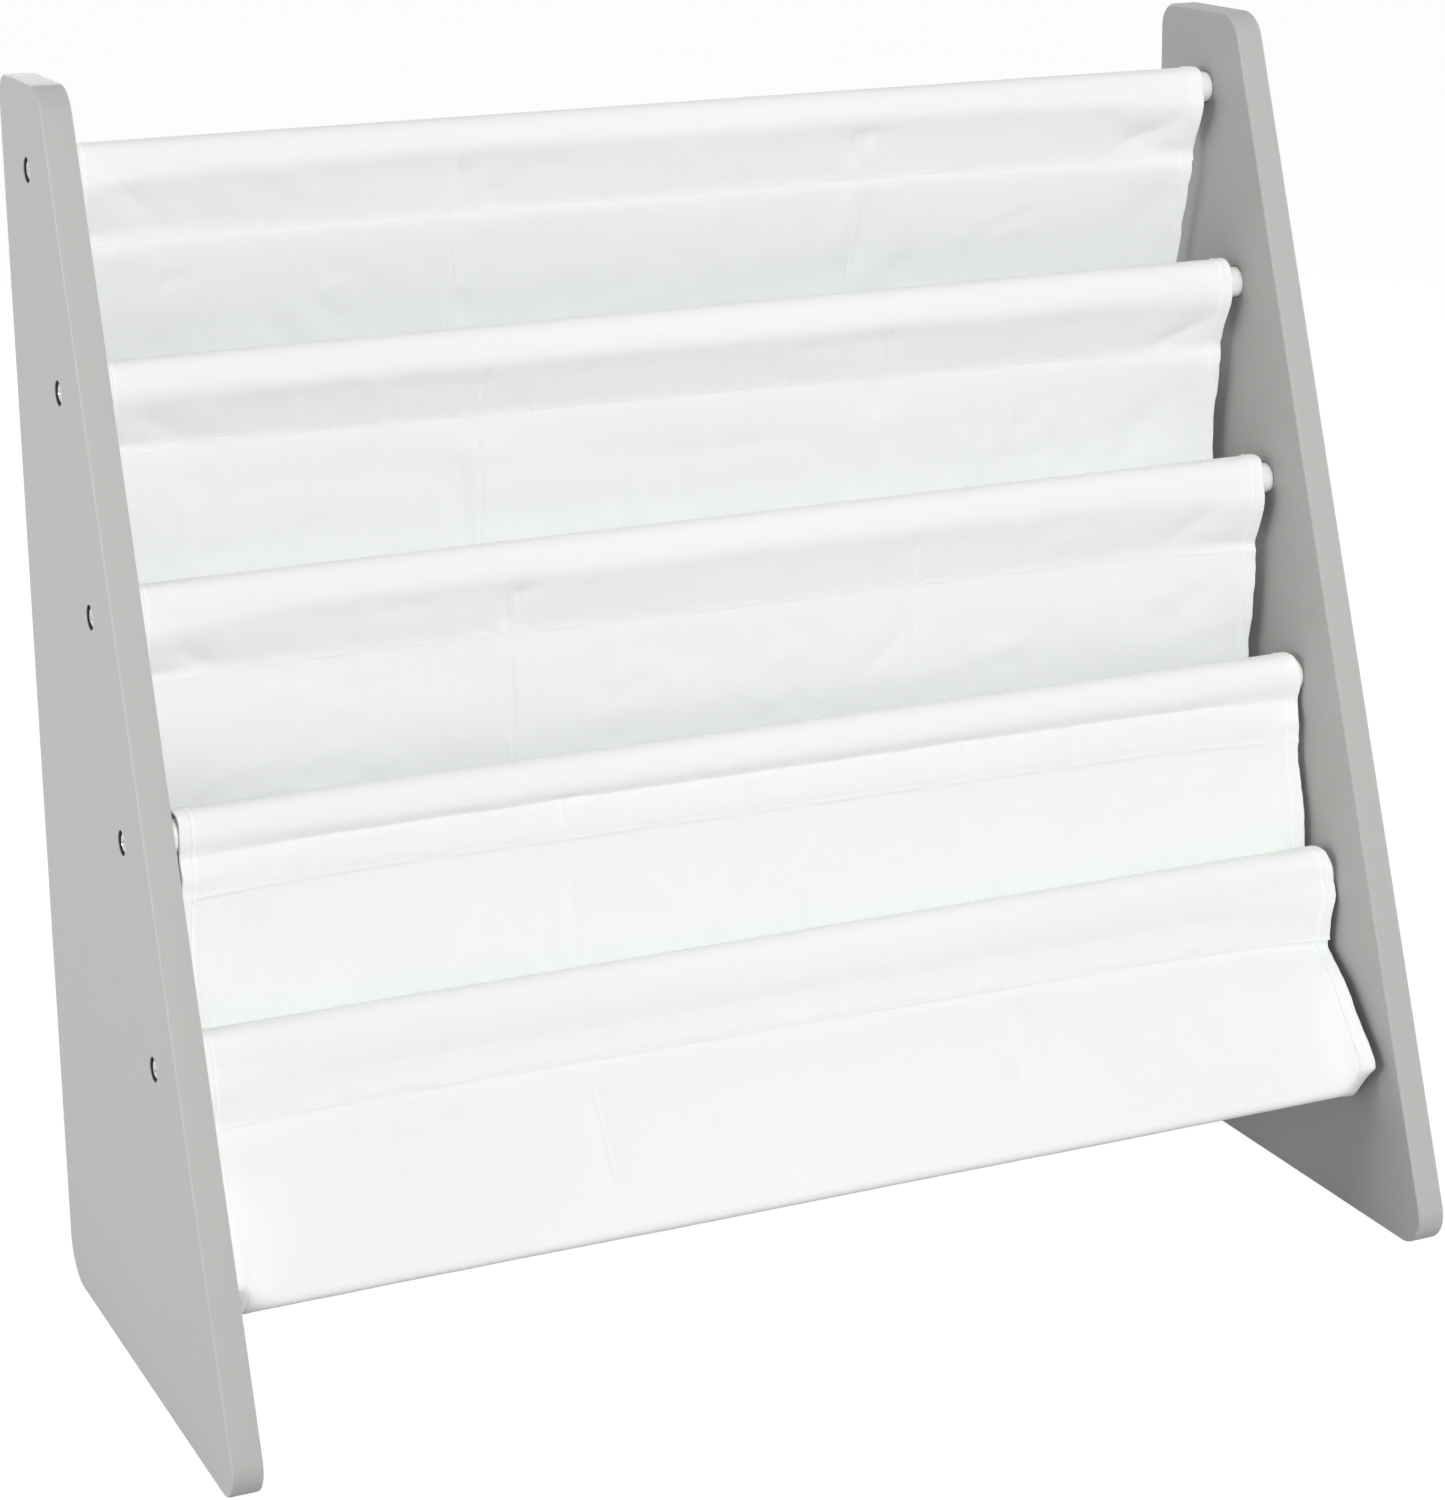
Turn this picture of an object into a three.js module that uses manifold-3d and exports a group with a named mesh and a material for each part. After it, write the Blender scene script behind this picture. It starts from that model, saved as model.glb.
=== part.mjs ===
// A children's sling bookshelf: two side panels, five rods between them, ten screws, and a
// canvas sling that hangs on the rods in four tiers.
// Millimetres. X runs along the rods, Y points to the back, Z is up. The origin is on the floor,
// in the middle of the rack's footprint.
import * as THREE from "three";
import { mergeVertices } from "three/addons/utils/BufferGeometryUtils.js";
import Module from "manifold-3d";

// Side panels.
const rackWidth = 644; // over the outer faces of both panels
const panelHeight = 610;
const panelThickness = 15;
const footDepth = 284; // along the floor, to the sharp corners that are then rounded
const topDepth = 73; // along the top, to the sharp corners that are then rounded
const footFrontRadius = 16;
const footBackRadius = 22;
const topBackRadius = 12;
const topFrontRadius = 18;
const edgeEasing = 1.2; // rounding of the panel's long edges

// Rods and the sockets that they sit in.
const rodDiameter = 16;
const topRodDrop = 40.5; // from the panel's top down to the top rod's axis
const bottomRodHeight = 175.5; // from the floor up to the lowest rod's axis
const rodSetback = 39.5; // from the panel's front edge to a rod's axis, square to that edge
const rodChamfer = 1;
const socketDepth = 6;
const socketClearance = 0.4; // round the rod, in its socket
const seatGap = 0.3; // between pieces that rest on each other

// Screws, one through each panel into each rod end.
const counterboreClearance = 1; // round the screw's head
const counterboreDepth = 3.6;
const screwHeadDiameter = 10;
const screwHeadHeight = 2.6;
const screwHeadEdge = 1.2; // height of the head's upright rim
const screwHeadCrown = 6.4; // diameter of the flat on top of the head
const screwShankDiameter = 4;
const screwLength = 38;
const screwPointLength = 6;
const screwHoleClearance = 0.3; // round the shank, in the panel and in the rod
const pilotSpare = 2; // depth of the rod's pilot hole past the screw's point
const recessSpan = 4.8;
const recessSlot = 1.1;
const recessDepth = 1.5;
const screwTurn = 37; // degrees from one screw's cross to the next

// Canvas sling: a tunnel round each rod and a pocket between each two tunnels.
const slingLeftGap = 7; // from the left panel to the cloth
const slingRightGap = 5; // from the cloth to the right panel
const canvasThickness = 1.2;
const tunnelSlack = 0.8; // between a rod and the two flanks of its tunnel
const tunnelRise = 6.4; // between the rod and the top of the loosest tunnel
const tunnelPinch = 3; // how far the front of a tunnel draws in under its rod
const seamRun = 4; // how far a pocket's wall hangs straight below its seam
const endSag = 3.5; // how much lower the tunnel seams lie at the two side hems
const endLean = 2; // how much further forward they lie there
const endReach = 110; // how far in from a side hem those two reach
const foldLineOffset = 107; // from the middle of the sling to each upright fold line
const foldLineDepth = 1.4;
const foldLineReach = 14; // to each side of a fold line
const flankSteps = 4;
const crestSteps = 6;
const pocketSteps = 23;

// One share for each rod, the top one first: of the loosest tunnel's rise, of the way down from
// this rod to the next for the seam's place below its rod, and of the rods' way back for its
// place behind it.
const tunnelRiseShares = [0.35, 0.69, 0.69, 0.56, 1];
const seamDropShares = [0.355, 0.325, 0.335, 0.28, 0.29];
const seamSetbackShares = [0.073, 0.123, 0, -0.22, -0.264];
const flankBendShares = { seam: 1 / 3, rod: 1 / 2 }; // of a seam's drop, where a flank bends
const endTuckShare = 0.5; // of a tunnel's rise, lost at the side hems
const endStationShare = 1 / 3; // of the ends' reach, where the cloth is shaped once more

// Shapes of the pockets, read from the upper seam round the bottom to the lower seam.
// Each place is a share of the rods' own step: back from the lower rod's axis in steps of the
// rods' way back, and down from the upper rod's axis in steps of the rods' way down.
const pocketShapeShares = [
  [
    [1.46, 0.98], [1.5, 1.4], [1.48, 1.85], [1.38, 2.14], [1.18, 2.32],
    [0.94, 2.33], [0.74, 2.16], [0.58, 1.88], [0.36, 1.6],
  ],
  [
    [1.2, 0.79], [1.16, 0.98], [1.14, 1.4], [1.1, 1.85], [1, 2.14], [0.8, 2.32],
    [0.56, 2.33], [0.38, 2.16], [0.26, 1.88], [0.12, 1.6],
  ],
  [
    [1.02, 0.82], [1.08, 0.98], [1.1, 1.4], [1.04, 1.85], [0.92, 2.14], [0.7, 2.32],
    [0.46, 2.33], [0.26, 2.16], [0.1, 1.88], [-0.08, 1.6],
  ],
  [
    [0.62, 0.58], [0.52, 0.91], [0.5, 1.16], [0.42, 1.56], [0.25, 1.9], [-0.06, 2.1], [-0.5, 2.15],
    [-1, 2.1], [-1.54, 2], [-1.73, 1.86], [-1.28, 1.67], [-0.78, 1.5],
  ],
];

const roundSegments = 28;
const smallRoundSegments = 14;
const cornerSegments = 9;
const easingSegments = 2;
const cutOverrun = 1; // how far a cut runs past the face that it opens
const weldDistance = 0.0001;

// The slope of the panels' front edge, and where the footprint's middle puts the panel.
const frontSlope = (footDepth - topDepth) / panelHeight;
const edgeLengthPerHeight = Math.hypot(1, frontSlope);
const footFrontAngle = Math.atan(1 / frontSlope);
const noseInset = footFrontRadius / Math.tan(footFrontAngle / 2) - footFrontRadius;
const overallDepth = footDepth - noseInset;
const backY = overallDepth / 2;
const footFrontY = backY - footDepth;

// The way down and back from each rod's axis to the next.
const rodCount = tunnelRiseShares.length;
const rodStepDown = (panelHeight - topRodDrop - bottomRodHeight) / (rodCount - 1);
const rodStepBack = rodStepDown * frontSlope;

// The clear width between the panels, and the cloth in it.
const innerFaceX = rackWidth / 2 - panelThickness;
const slingWidth = 2 * innerFaceX - slingLeftGap - slingRightGap;
const slingMiddleX = (slingLeftGap - slingRightGap) / 2;

const wasm = await Module();
wasm.setup();

// Turns a closed geometry into a solid that can be joined and cut.
function solidOf(geometry) {
  const bare = geometry.clone();
  bare.deleteAttribute("normal");
  bare.deleteAttribute("uv");
  const welded = mergeVertices(bare, weldDistance);
  return new wasm.Manifold(new wasm.Mesh({
    numProp: 3,
    vertProperties: Float32Array.from(welded.attributes.position.array),
    triVerts: Uint32Array.from(welded.index.array),
  }));
}

function geometryOf(solid) {
  const mesh = solid.getMesh();
  const geometry = new THREE.BufferGeometry();
  geometry.setAttribute("position", new THREE.BufferAttribute(mesh.vertProperties, mesh.numProp));
  geometry.setIndex(new THREE.BufferAttribute(mesh.triVerts, 1));
  geometry.computeVertexNormals();
  return geometry;
}

// A round bar along X, from one X to another, round the axis at (y, z).
function barAlongX(radius, fromX, toX, y, z, segments) {
  const bar = new THREE.CylinderGeometry(radius, radius, Math.abs(toX - fromX), segments);
  bar.rotateZ(Math.PI / 2);
  bar.translate((fromX + toX) / 2, y, z);
  return solidOf(bar);
}

// A closed outline with each sharp corner [x, y, radius] replaced by an arc.
function roundedOutline(corners) {
  const shape = new THREE.Shape();
  corners.forEach(([x, y, radius], i) => {
    const corner = new THREE.Vector2(x, y);
    const before = new THREE.Vector2(...corners.at(i - 1)).sub(corner).normalize();
    const after = new THREE.Vector2(...corners[(i + 1) % corners.length]).sub(corner).normalize();
    const halfAngle = Math.acos(before.dot(after)) / 2;
    const inward = before.clone().add(after).normalize();
    const centre = corner.clone().addScaledVector(inward, radius / Math.sin(halfAngle));
    const start = corner.clone().addScaledVector(before, radius / Math.tan(halfAngle)).sub(centre);
    const end = corner.clone().addScaledVector(after, radius / Math.tan(halfAngle)).sub(centre);
    shape.absarc(centre.x, centre.y, radius, start.angle(), end.angle(), false);
  });
  shape.closePath();
  return shape;
}

// Where rod number i has its axis: [y, z].
function rodAxis(i) {
  const z = panelHeight - topRodDrop - i * rodStepDown;
  return [footFrontY + z * frontSlope + rodSetback * edgeLengthPerHeight, z];
}

// A side panel round the middle of its own thickness. Its outer face looks to side -1 or +1.
function sidePanelGeometry(side) {
  const outline = roundedOutline([
    [footFrontY, 0, footFrontRadius],
    [backY, 0, footBackRadius],
    [backY, panelHeight, topBackRadius],
    [backY - topDepth, panelHeight, topFrontRadius],
  ]);
  const board = new THREE.ExtrudeGeometry(outline, {
    depth: panelThickness - 2 * edgeEasing,
    bevelThickness: edgeEasing,
    bevelSize: edgeEasing,
    bevelOffset: -edgeEasing,
    bevelSegments: easingSegments,
    curveSegments: cornerSegments,
  });
  board.translate(0, 0, edgeEasing - panelThickness / 2);
  board.applyMatrix4(new THREE.Matrix4().makeBasis(
    new THREE.Vector3(0, 1, 0),
    new THREE.Vector3(0, 0, 1),
    new THREE.Vector3(1, 0, 0),
  ));
  let solid = solidOf(board);
  const outerX = side * panelThickness / 2;
  const innerX = -outerX;
  const pastOuterX = outerX + side * cutOverrun;
  const pastInnerX = innerX - side * cutOverrun;
  const socketFloorX = innerX + side * socketDepth;
  const counterboreFloorX = outerX - side * counterboreDepth;
  const socketRadius = rodDiameter / 2 + socketClearance;
  const counterboreRadius = screwHeadDiameter / 2 + counterboreClearance;
  const holeRadius = screwShankDiameter / 2 + screwHoleClearance;
  for (let i = 0; i < rodCount; i += 1) {
    const [y, z] = rodAxis(i);
    for (const cut of [
      barAlongX(socketRadius, pastInnerX, socketFloorX, y, z, roundSegments),
      barAlongX(counterboreRadius, pastOuterX, counterboreFloorX, y, z, roundSegments),
      barAlongX(holeRadius, pastInnerX, pastOuterX, y, z, smallRoundSegments),
    ]) {
      solid = solid.subtract(cut);
    }
  }
  return geometryOf(solid);
}

// A rod along its own Y axis, with eased ends and a pilot hole in each.
function rodGeometry() {
  const halfLength = innerFaceX + socketDepth - seatGap;
  const radius = rodDiameter / 2;
  const pilotRadius = screwShankDiameter / 2 + screwHoleClearance;
  const screwReach = screwLength + counterboreDepth - seatGap;
  const pilotFloor = rackWidth / 2 - screwReach - pilotSpare;
  const half = [
    [0, pilotFloor],
    [pilotRadius, pilotFloor],
    [pilotRadius, halfLength],
    [radius - rodChamfer, halfLength],
    [radius, halfLength - rodChamfer],
  ];
  const profile = [
    ...half.map(([r, h]) => new THREE.Vector2(r, -h)),
    ...half.map(([r, h]) => new THREE.Vector2(r, h)).reverse(),
  ];
  return new THREE.LatheGeometry(profile, roundSegments);
}

// A screw along its own Y axis, with the underside of its head at the origin.
function screwGeometry() {
  const shankRadius = screwShankDiameter / 2;
  const profile = [
    [0, -screwLength],
    [shankRadius, screwPointLength - screwLength],
    [shankRadius, 0],
    [screwHeadDiameter / 2, 0],
    [screwHeadDiameter / 2, screwHeadEdge],
    [screwHeadCrown / 2, screwHeadHeight],
    [0, screwHeadHeight],
  ].map(([r, h]) => new THREE.Vector2(r, h));
  let solid = solidOf(new THREE.LatheGeometry(profile, smallRoundSegments));
  for (const quarterTurn of [0, Math.PI / 2]) {
    const slot = new THREE.BoxGeometry(recessSpan, recessDepth + cutOverrun, recessSlot);
    slot.translate(0, screwHeadHeight - recessDepth / 2 + cutOverrun / 2, 0);
    slot.rotateY(quarterTurn);
    solid = solid.subtract(solidOf(slot));
  }
  return geometryOf(solid);
}

// Places across the sling where its cloth is shaped, closer together at the fold lines.
function slingStations() {
  const half = slingWidth / 2;
  const right = [
    0,
    foldLineOffset / 2,
    foldLineOffset - foldLineReach,
    foldLineOffset,
    foldLineOffset + foldLineReach,
    half - endReach * endStationShare,
    half,
  ];
  return [...right.slice(1).map((x) => -x).reverse(), ...right];
}

// From 0 in the middle of the sling to 1 at a side hem.
function nearness(x) {
  const inward = (slingWidth / 2 - Math.abs(x)) / endReach;
  return (1 - Math.min(inward, 1)) ** 2;
}

// The height of the two fold lines over the flat cloth, 1 on a line and 0 away from it.
function foldLine(x) {
  return Math.max(0, 1 - Math.abs(Math.abs(x) - foldLineOffset) / foldLineReach);
}

// A strip of canvas. place(u, x) gives the middle of the cloth as [y, z] for u from 0 to 1 along
// the strip and x across it. The cloth's first side is the one on the left of the way along. Both
// ends of the strip lie level, where a seam joins it to its neighbours.
function canvasStrip(place, steps) {
  const stations = slingStations();
  const columns = stations.length;
  const rows = steps + 1;
  const sides = [[], []];
  stations.forEach((x) => {
    const middle = Array.from({ length: rows }, (_, row) => place(row / steps, x));
    middle.forEach(([y, z], row) => {
      const ahead = middle[Math.min(row + 1, steps)];
      const behind = middle[Math.max(row - 1, 0)];
      const level = row === 0 || row === steps;
      const across = new THREE.Vector2(behind[1] - ahead[1], level ? 0 : ahead[0] - behind[0]);
      across.normalize();
      sides.forEach((side, k) => {
        const out = (k === 0 ? canvasThickness : -canvasThickness) / 2;
        side.push(x, y + across.x * out, z + across.y * out);
      });
    });
  });
  const index = [];
  const at = (column, row) => column * rows + row;
  const face = (a, b, c, d) => index.push(a, b, c, a, c, d);
  const otherSide = (corner) => corner + columns * rows;
  const rim = (from, to) => face(from, otherSide(from), otherSide(to), to);
  for (let column = 0; column + 1 < columns; column += 1) {
    for (let row = 0; row < steps; row += 1) {
      const corners = [
        at(column, row),
        at(column + 1, row),
        at(column + 1, row + 1),
        at(column, row + 1),
      ];
      face(...corners);
      face(...corners.map(otherSide).reverse());
    }
    rim(at(column, 0), at(column + 1, 0));
    rim(at(column + 1, steps), at(column, steps));
  }
  for (let row = 0; row < steps; row += 1) {
    rim(at(0, row + 1), at(0, row));
    rim(at(columns - 1, row), at(columns - 1, row + 1));
  }
  const geometry = new THREE.BufferGeometry();
  geometry.setAttribute("position", new THREE.Float32BufferAttribute(sides.flat(), 3));
  geometry.setIndex(index);
  geometry.computeVertexNormals();
  return geometry;
}

function seamDrop(i) {
  return seamDropShares[i] * rodStepDown;
}

// The seam below rod i at x across the sling: [y, z] between the two layers that it joins.
function seamPlace(i, x) {
  const [y, z] = rodAxis(i);
  const setback = seamSetbackShares[i] * rodStepBack;
  return [y + setback - endLean * nearness(x), z - seamDrop(i) - endSag * nearness(x)];
}

// Half the distance between the middles of the two layers that a seam joins.
const layerOffset = (canvasThickness + seatGap) / 2;

// The tunnel round rod i: up its front from the seam, over the rod and down its back.
function tunnelGeometry(i) {
  const [rodY, rodZ] = rodAxis(i);
  const halfWidth = rodDiameter / 2 + tunnelSlack + canvasThickness / 2;
  const rise = tunnelRiseShares[i] * tunnelRise;
  const flank = (side, x, t) => {
    const [seamY, seamZ] = seamPlace(i, x);
    const seamSideY = seamY + side * layerOffset;
    const rodSideY = rodY + side * halfWidth;
    const pinch = side < 0 ? tunnelPinch * (1 - nearness(x)) + foldLineDepth * foldLine(x) : 0;
    const curve = new THREE.CubicBezierCurve(
      new THREE.Vector2(seamSideY, seamZ),
      new THREE.Vector2(seamSideY + pinch, seamZ + seamDrop(i) * flankBendShares.seam),
      new THREE.Vector2(rodSideY, rodZ - seamDrop(i) * flankBendShares.rod),
      new THREE.Vector2(rodSideY, rodZ),
    );
    return curve.getPoint(t).toArray();
  };
  const steps = 2 * flankSteps + crestSteps;
  return canvasStrip((u, x) => {
    const step = u * steps;
    if (step < flankSteps) {
      return flank(-1, x, step / flankSteps);
    }
    if (step > steps - flankSteps) {
      return flank(1, x, (steps - step) / flankSteps);
    }
    const turn = Math.PI * (step - flankSteps) / crestSteps;
    const halfHeight = (rodDiameter + canvasThickness) / 2 + rise * (1 - endTuckShare * nearness(x));
    return [rodY - halfWidth * Math.cos(turn), rodZ + halfHeight * Math.sin(turn)];
  }, steps);
}

// The pocket between rod i and the next: down its back from the upper seam, round its bottom
// and up its front to the lower seam.
function pocketGeometry(i) {
  const [, upperZ] = rodAxis(i);
  const [lowerY] = rodAxis(i + 1);
  const shape = pocketShapeShares[i].map(([back, down]) => new THREE.Vector3(
    0,
    lowerY + back * rodStepBack,
    upperZ - down * rodStepDown,
  ));
  return canvasStrip((u, x) => {
    const [topY, topZ] = seamPlace(i, x);
    const [endY, endZ] = seamPlace(i + 1, x);
    const route = new THREE.CatmullRomCurve3([
      new THREE.Vector3(0, topY - layerOffset, topZ - seatGap),
      new THREE.Vector3(0, topY - layerOffset, topZ - seamRun),
      ...shape,
      new THREE.Vector3(0, endY + layerOffset, endZ - seamRun),
      new THREE.Vector3(0, endY + layerOffset, endZ - seatGap),
    ], false, "centripetal");
    const point = route.getPoint(u);
    const crease = foldLineDepth * foldLine(x) * Math.sin(Math.PI * u);
    return [point.y + crease, point.z];
  }, pocketSteps);
}

const sling = new THREE.Group();
sling.position.x = slingMiddleX;
const rack = new THREE.Group();
rack.add(sling);

function addPiece(parent, name, geometry, material) {
  const piece = new THREE.Mesh(geometry, material);
  piece.name = name;
  parent.add(piece);
  return piece;
}

function finish(color, roughness, metalness) {
  return new THREE.MeshStandardMaterial({ color, roughness, metalness });
}

const panelPaint = finish(0xc3c5c0, 0.55, 0);
const rodPaint = finish(0xe6e7e4, 0.5, 0);
const canvas = finish(0xf1f3ef, 0.95, 0);
const steel = finish(0xb9bcbf, 0.35, 1);

for (const [label, side] of [["left", -1], ["right", 1]]) {
  const panel = addPiece(rack, `${label}_side_panel`, sidePanelGeometry(side), panelPaint);
  panel.position.x = side * (rackWidth - panelThickness) / 2;
  for (let i = 0; i < rodCount; i += 1) {
    const [y, z] = rodAxis(i);
    const screw = addPiece(rack, `${label}_screw_${i + 1}`, screwGeometry(), steel);
    screw.position.set(side * (rackWidth / 2 - counterboreDepth + seatGap), y, z);
    screw.rotation.set(THREE.MathUtils.degToRad(screwTurn) * (i + 1), 0, -side * Math.PI / 2);
  }
}

for (let i = 0; i < rodCount; i += 1) {
  const [y, z] = rodAxis(i);
  const rod = addPiece(rack, `rod_${i + 1}`, rodGeometry(), rodPaint);
  rod.position.set(0, y, z);
  rod.rotation.z = Math.PI / 2;
  addPiece(sling, `rod_tunnel_${i + 1}`, tunnelGeometry(i), canvas);
}
for (let i = 0; i + 1 < rodCount; i += 1) {
  addPiece(sling, `pocket_${i + 1}`, pocketGeometry(i), canvas);
}

export default rack;
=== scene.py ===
# %% [markdown]
# # A sling bookshelf for small children
#
# Two painted side panels carry five round rods, and a canvas sling hangs on the rods in four
# tiers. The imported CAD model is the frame: it says where every piece is. This lesson builds the
# piece that is looked at on top of each CAD piece: boards with eased edges, turned rods, screws
# with a cross recess, sewn cloth, and the thread that sews it. All shapes are worked out in
# millimetres with numpy and go into Blender in metres.

# %% Load the frame
import math

import bmesh
import bpy
import numpy as np
from mathutils import Matrix, Vector
from mathutils.geometry import tessellate_polygon


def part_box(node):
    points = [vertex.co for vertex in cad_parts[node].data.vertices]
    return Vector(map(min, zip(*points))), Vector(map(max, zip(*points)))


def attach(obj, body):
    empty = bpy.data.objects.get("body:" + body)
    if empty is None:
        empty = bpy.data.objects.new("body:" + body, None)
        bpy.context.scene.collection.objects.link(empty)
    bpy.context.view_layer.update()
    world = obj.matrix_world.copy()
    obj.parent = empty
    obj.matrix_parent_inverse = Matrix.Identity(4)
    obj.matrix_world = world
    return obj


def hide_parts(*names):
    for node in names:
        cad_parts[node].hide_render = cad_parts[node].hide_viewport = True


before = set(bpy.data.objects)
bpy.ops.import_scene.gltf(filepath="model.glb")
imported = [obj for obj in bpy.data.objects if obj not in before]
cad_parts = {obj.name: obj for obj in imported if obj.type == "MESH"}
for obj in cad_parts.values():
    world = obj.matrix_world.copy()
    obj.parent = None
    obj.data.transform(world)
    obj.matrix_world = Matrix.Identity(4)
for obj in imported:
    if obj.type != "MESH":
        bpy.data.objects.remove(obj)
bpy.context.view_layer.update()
MM = 1000

# %% [markdown]
# ## The camera
#
# The photograph was taken from the left, from above the middle of the rack, with a long lens.
# A camera could be placed by eye, but here its place, its two angles and its slight roll were
# solved from the corners of the two panels. The three axes of the camera go straight into its
# matrix. The optical axis isn't in the middle of the photograph, so a small shift moves it.

# %% The camera
CAMERA_PLACE = (-0.7359, -1.6212, 0.8143)
AZIMUTH = math.radians(24.263)
ELEVATION = math.radians(15.176)
ROLL = math.radians(-0.693)
PHOTO_SIZE = (1445, 1500)
AXIS_AT = (743.3, 634.1)
FOCAL_LENGTH = 3774.4
SENSOR_WIDTH = 36
VIEW_REACH = 50


def put_in_scene(name, data):
    """A new object that shows this data, at the origin."""
    thing = bpy.data.objects.new(name, data)
    bpy.context.scene.collection.objects.link(thing)
    return thing


def camera_matrix():
    """The camera's own axes as columns: right, up and backward, each a unit vector."""
    ahead = Vector((
        math.sin(AZIMUTH) * math.cos(ELEVATION),
        math.cos(AZIMUTH) * math.cos(ELEVATION),
        -math.sin(ELEVATION),
    ))
    right = ahead.cross(Vector((0, 0, 1))).normalized()
    up = right.cross(ahead)
    rolled_right = right * math.cos(ROLL) + up * math.sin(ROLL)
    rolled_up = up * math.cos(ROLL) - right * math.sin(ROLL)
    turn = Matrix((rolled_right, rolled_up, -ahead)).transposed().to_4x4()
    return Matrix.Translation(CAMERA_PLACE) @ turn


lens = bpy.data.cameras.new("camera")
lens.sensor_width = SENSOR_WIDTH
lens.lens = FOCAL_LENGTH / max(PHOTO_SIZE) * SENSOR_WIDTH
lens.shift_x = (PHOTO_SIZE[0] / 2 - AXIS_AT[0]) / max(PHOTO_SIZE)
lens.shift_y = (AXIS_AT[1] - PHOTO_SIZE[1] / 2) / max(PHOTO_SIZE)
lens.clip_end = VIEW_REACH
camera = put_in_scene("camera", lens)
camera.matrix_world = camera_matrix()
bpy.context.scene.camera = camera
bpy.context.scene.view_settings.view_transform = "Standard"
print(f"lens {lens.lens:.1f} mm, shift {lens.shift_x:.4f}, {lens.shift_y:.4f}")

# %% [markdown]
# ## Writing materials as Python
#
# A material is a small graph of nodes. It could be wired by hand, but sums are easier to read
# as sums, so `Signal` wraps one socket and turns +, -, * and / into Math nodes. Everything that
# isn't plain arithmetic comes from `Finish.node`, which makes one node from its type, its
# settings and what goes into its sockets.


# %% A signal and a finish
def operator(operation, swapped=False):
    """A method that adds a Math node; swapped=True puts the other value first."""

    def method(signal, *values):
        order = (*values, signal) if swapped else (signal, *values)
        return signal.finish.node("Math", {"operation": operation}, dict(enumerate(order)))

    return method


class Signal:
    """One socket of a material, on which Python's arithmetic adds Math nodes."""

    def __init__(self, finish, socket):
        self.finish = finish
        self.socket = socket

    __add__ = __radd__ = operator("ADD")
    __mul__ = __rmul__ = operator("MULTIPLY")
    __sub__ = operator("SUBTRACT")
    __rsub__ = operator("SUBTRACT", swapped=True)
    __truediv__ = operator("DIVIDE")
    __rtruediv__ = operator("DIVIDE", swapped=True)
    __abs__ = operator("ABSOLUTE")
    sine = operator("SINE")
    larger = operator("MAXIMUM")
    smaller = operator("MINIMUM")

    def held(self, low=0, high=1):
        """The value, but never under low or over high."""
        return self.larger(low).smaller(high)

    def other(self, name):
        """Another output of the same node."""
        return Signal(self.finish, self.socket.node.outputs[name])


class Finish:
    """The graph of a material or of the world, emptied, and the method that puts nodes in it."""

    def __init__(self, owner):
        owner.use_nodes = True
        self.owner = owner
        self.tree = owner.node_tree
        self.tree.nodes.clear()

    def node(self, kind, settings, sockets, output=0):
        """Makes a ShaderNode of that kind: settings first, then values or links."""
        node = self.tree.nodes.new("ShaderNode" + kind)
        for key, value in settings.items():
            setattr(node, key, value)
        for key, value in sockets.items():
            if isinstance(value, Signal):
                self.tree.links.new(value.socket, node.inputs[key])
            else:
                node.inputs[key].default_value = value
        return Signal(self, node.outputs[output]) if len(node.outputs) else node

    def place(self):
        """Object coordinates in metres, the same for all pieces, as they sit at the origin."""
        return self.node("TexCoord", {}, {}, "Object")

    def tint(self, share, first, second):
        """A colour between two others, by a share from 0 to 1. A Mix node has its colours in
        sockets 6 and 7, and its mixed colour is output 2."""
        return self.node("Mix", {"data_type": "RGBA"}, {0: share, 6: first, 7: second}, 2)

    def speckle(self, place, scale, detail=2, stretch=(1, 1, 1)):
        """Smooth noise from 0 to 1 whose grains are about 1 / scale metres across."""
        spread = self.node("Mapping", {}, {"Vector": place, "Scale": stretch})
        return self.node("TexNoise", {}, {"Vector": spread, "Scale": scale, "Detail": detail})

    def bump(self, height, distance):
        """A relief whose full height, in metres, is the distance."""
        return self.node("Bump", {}, {"Height": height, "Distance": distance})

    def surface(self, **sockets):
        """Closes the material with a Principled surface. An underscore stands for a space."""
        named = {key.replace("_", " "): value for key, value in sockets.items()}
        shader = self.node("BsdfPrincipled", {}, named)
        self.node("OutputMaterial", {}, {"Surface": shader})


def new_finish(name):
    return Finish(bpy.data.materials.new(name))


print("materials are written with Signal and Finish")

# %% [markdown]
# ## The floor, the backdrop and the light
#
# The photograph is a product picture on pure white. The floor is a wide pale plane. What the
# camera sees of it is mostly its own white, and a share of it is lit paint, so that the rack's
# soft shadow stays on it. The world is white to the camera and to reflections, and dimmer as a
# light. The cloth in the photograph is lit almost evenly, down to where one tier dips behind
# the next, so the main softbox stands in front, high enough to reach in over each crest. One
# above and behind lights the crests and the boards' tops. One low on the left brightens the
# outer left face, and the left panel hides it from the inner right face, which stays in shade.
# The last two do the same for the sides that the photograph doesn't show.

# %% Floor and world
WHITE = (1, 1, 1, 1)
FLOOR_HALF = 14
FLOOR_GLOW = 0.9
FLOOR_WHITE = 1.06
FLOOR_BOUNCE = 0.45
WORLD_LIGHT = 0.22


def seen_directly(finish):
    """1 for rays from the camera, a reflection or a clear material, and 0 for the rest."""
    path = finish.node("LightPath", {}, {})
    return path.other("Is Camera Ray").larger(path.other("Is Glossy Ray")).larger(
        path.other("Is Transmission Ray")
    )


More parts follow.
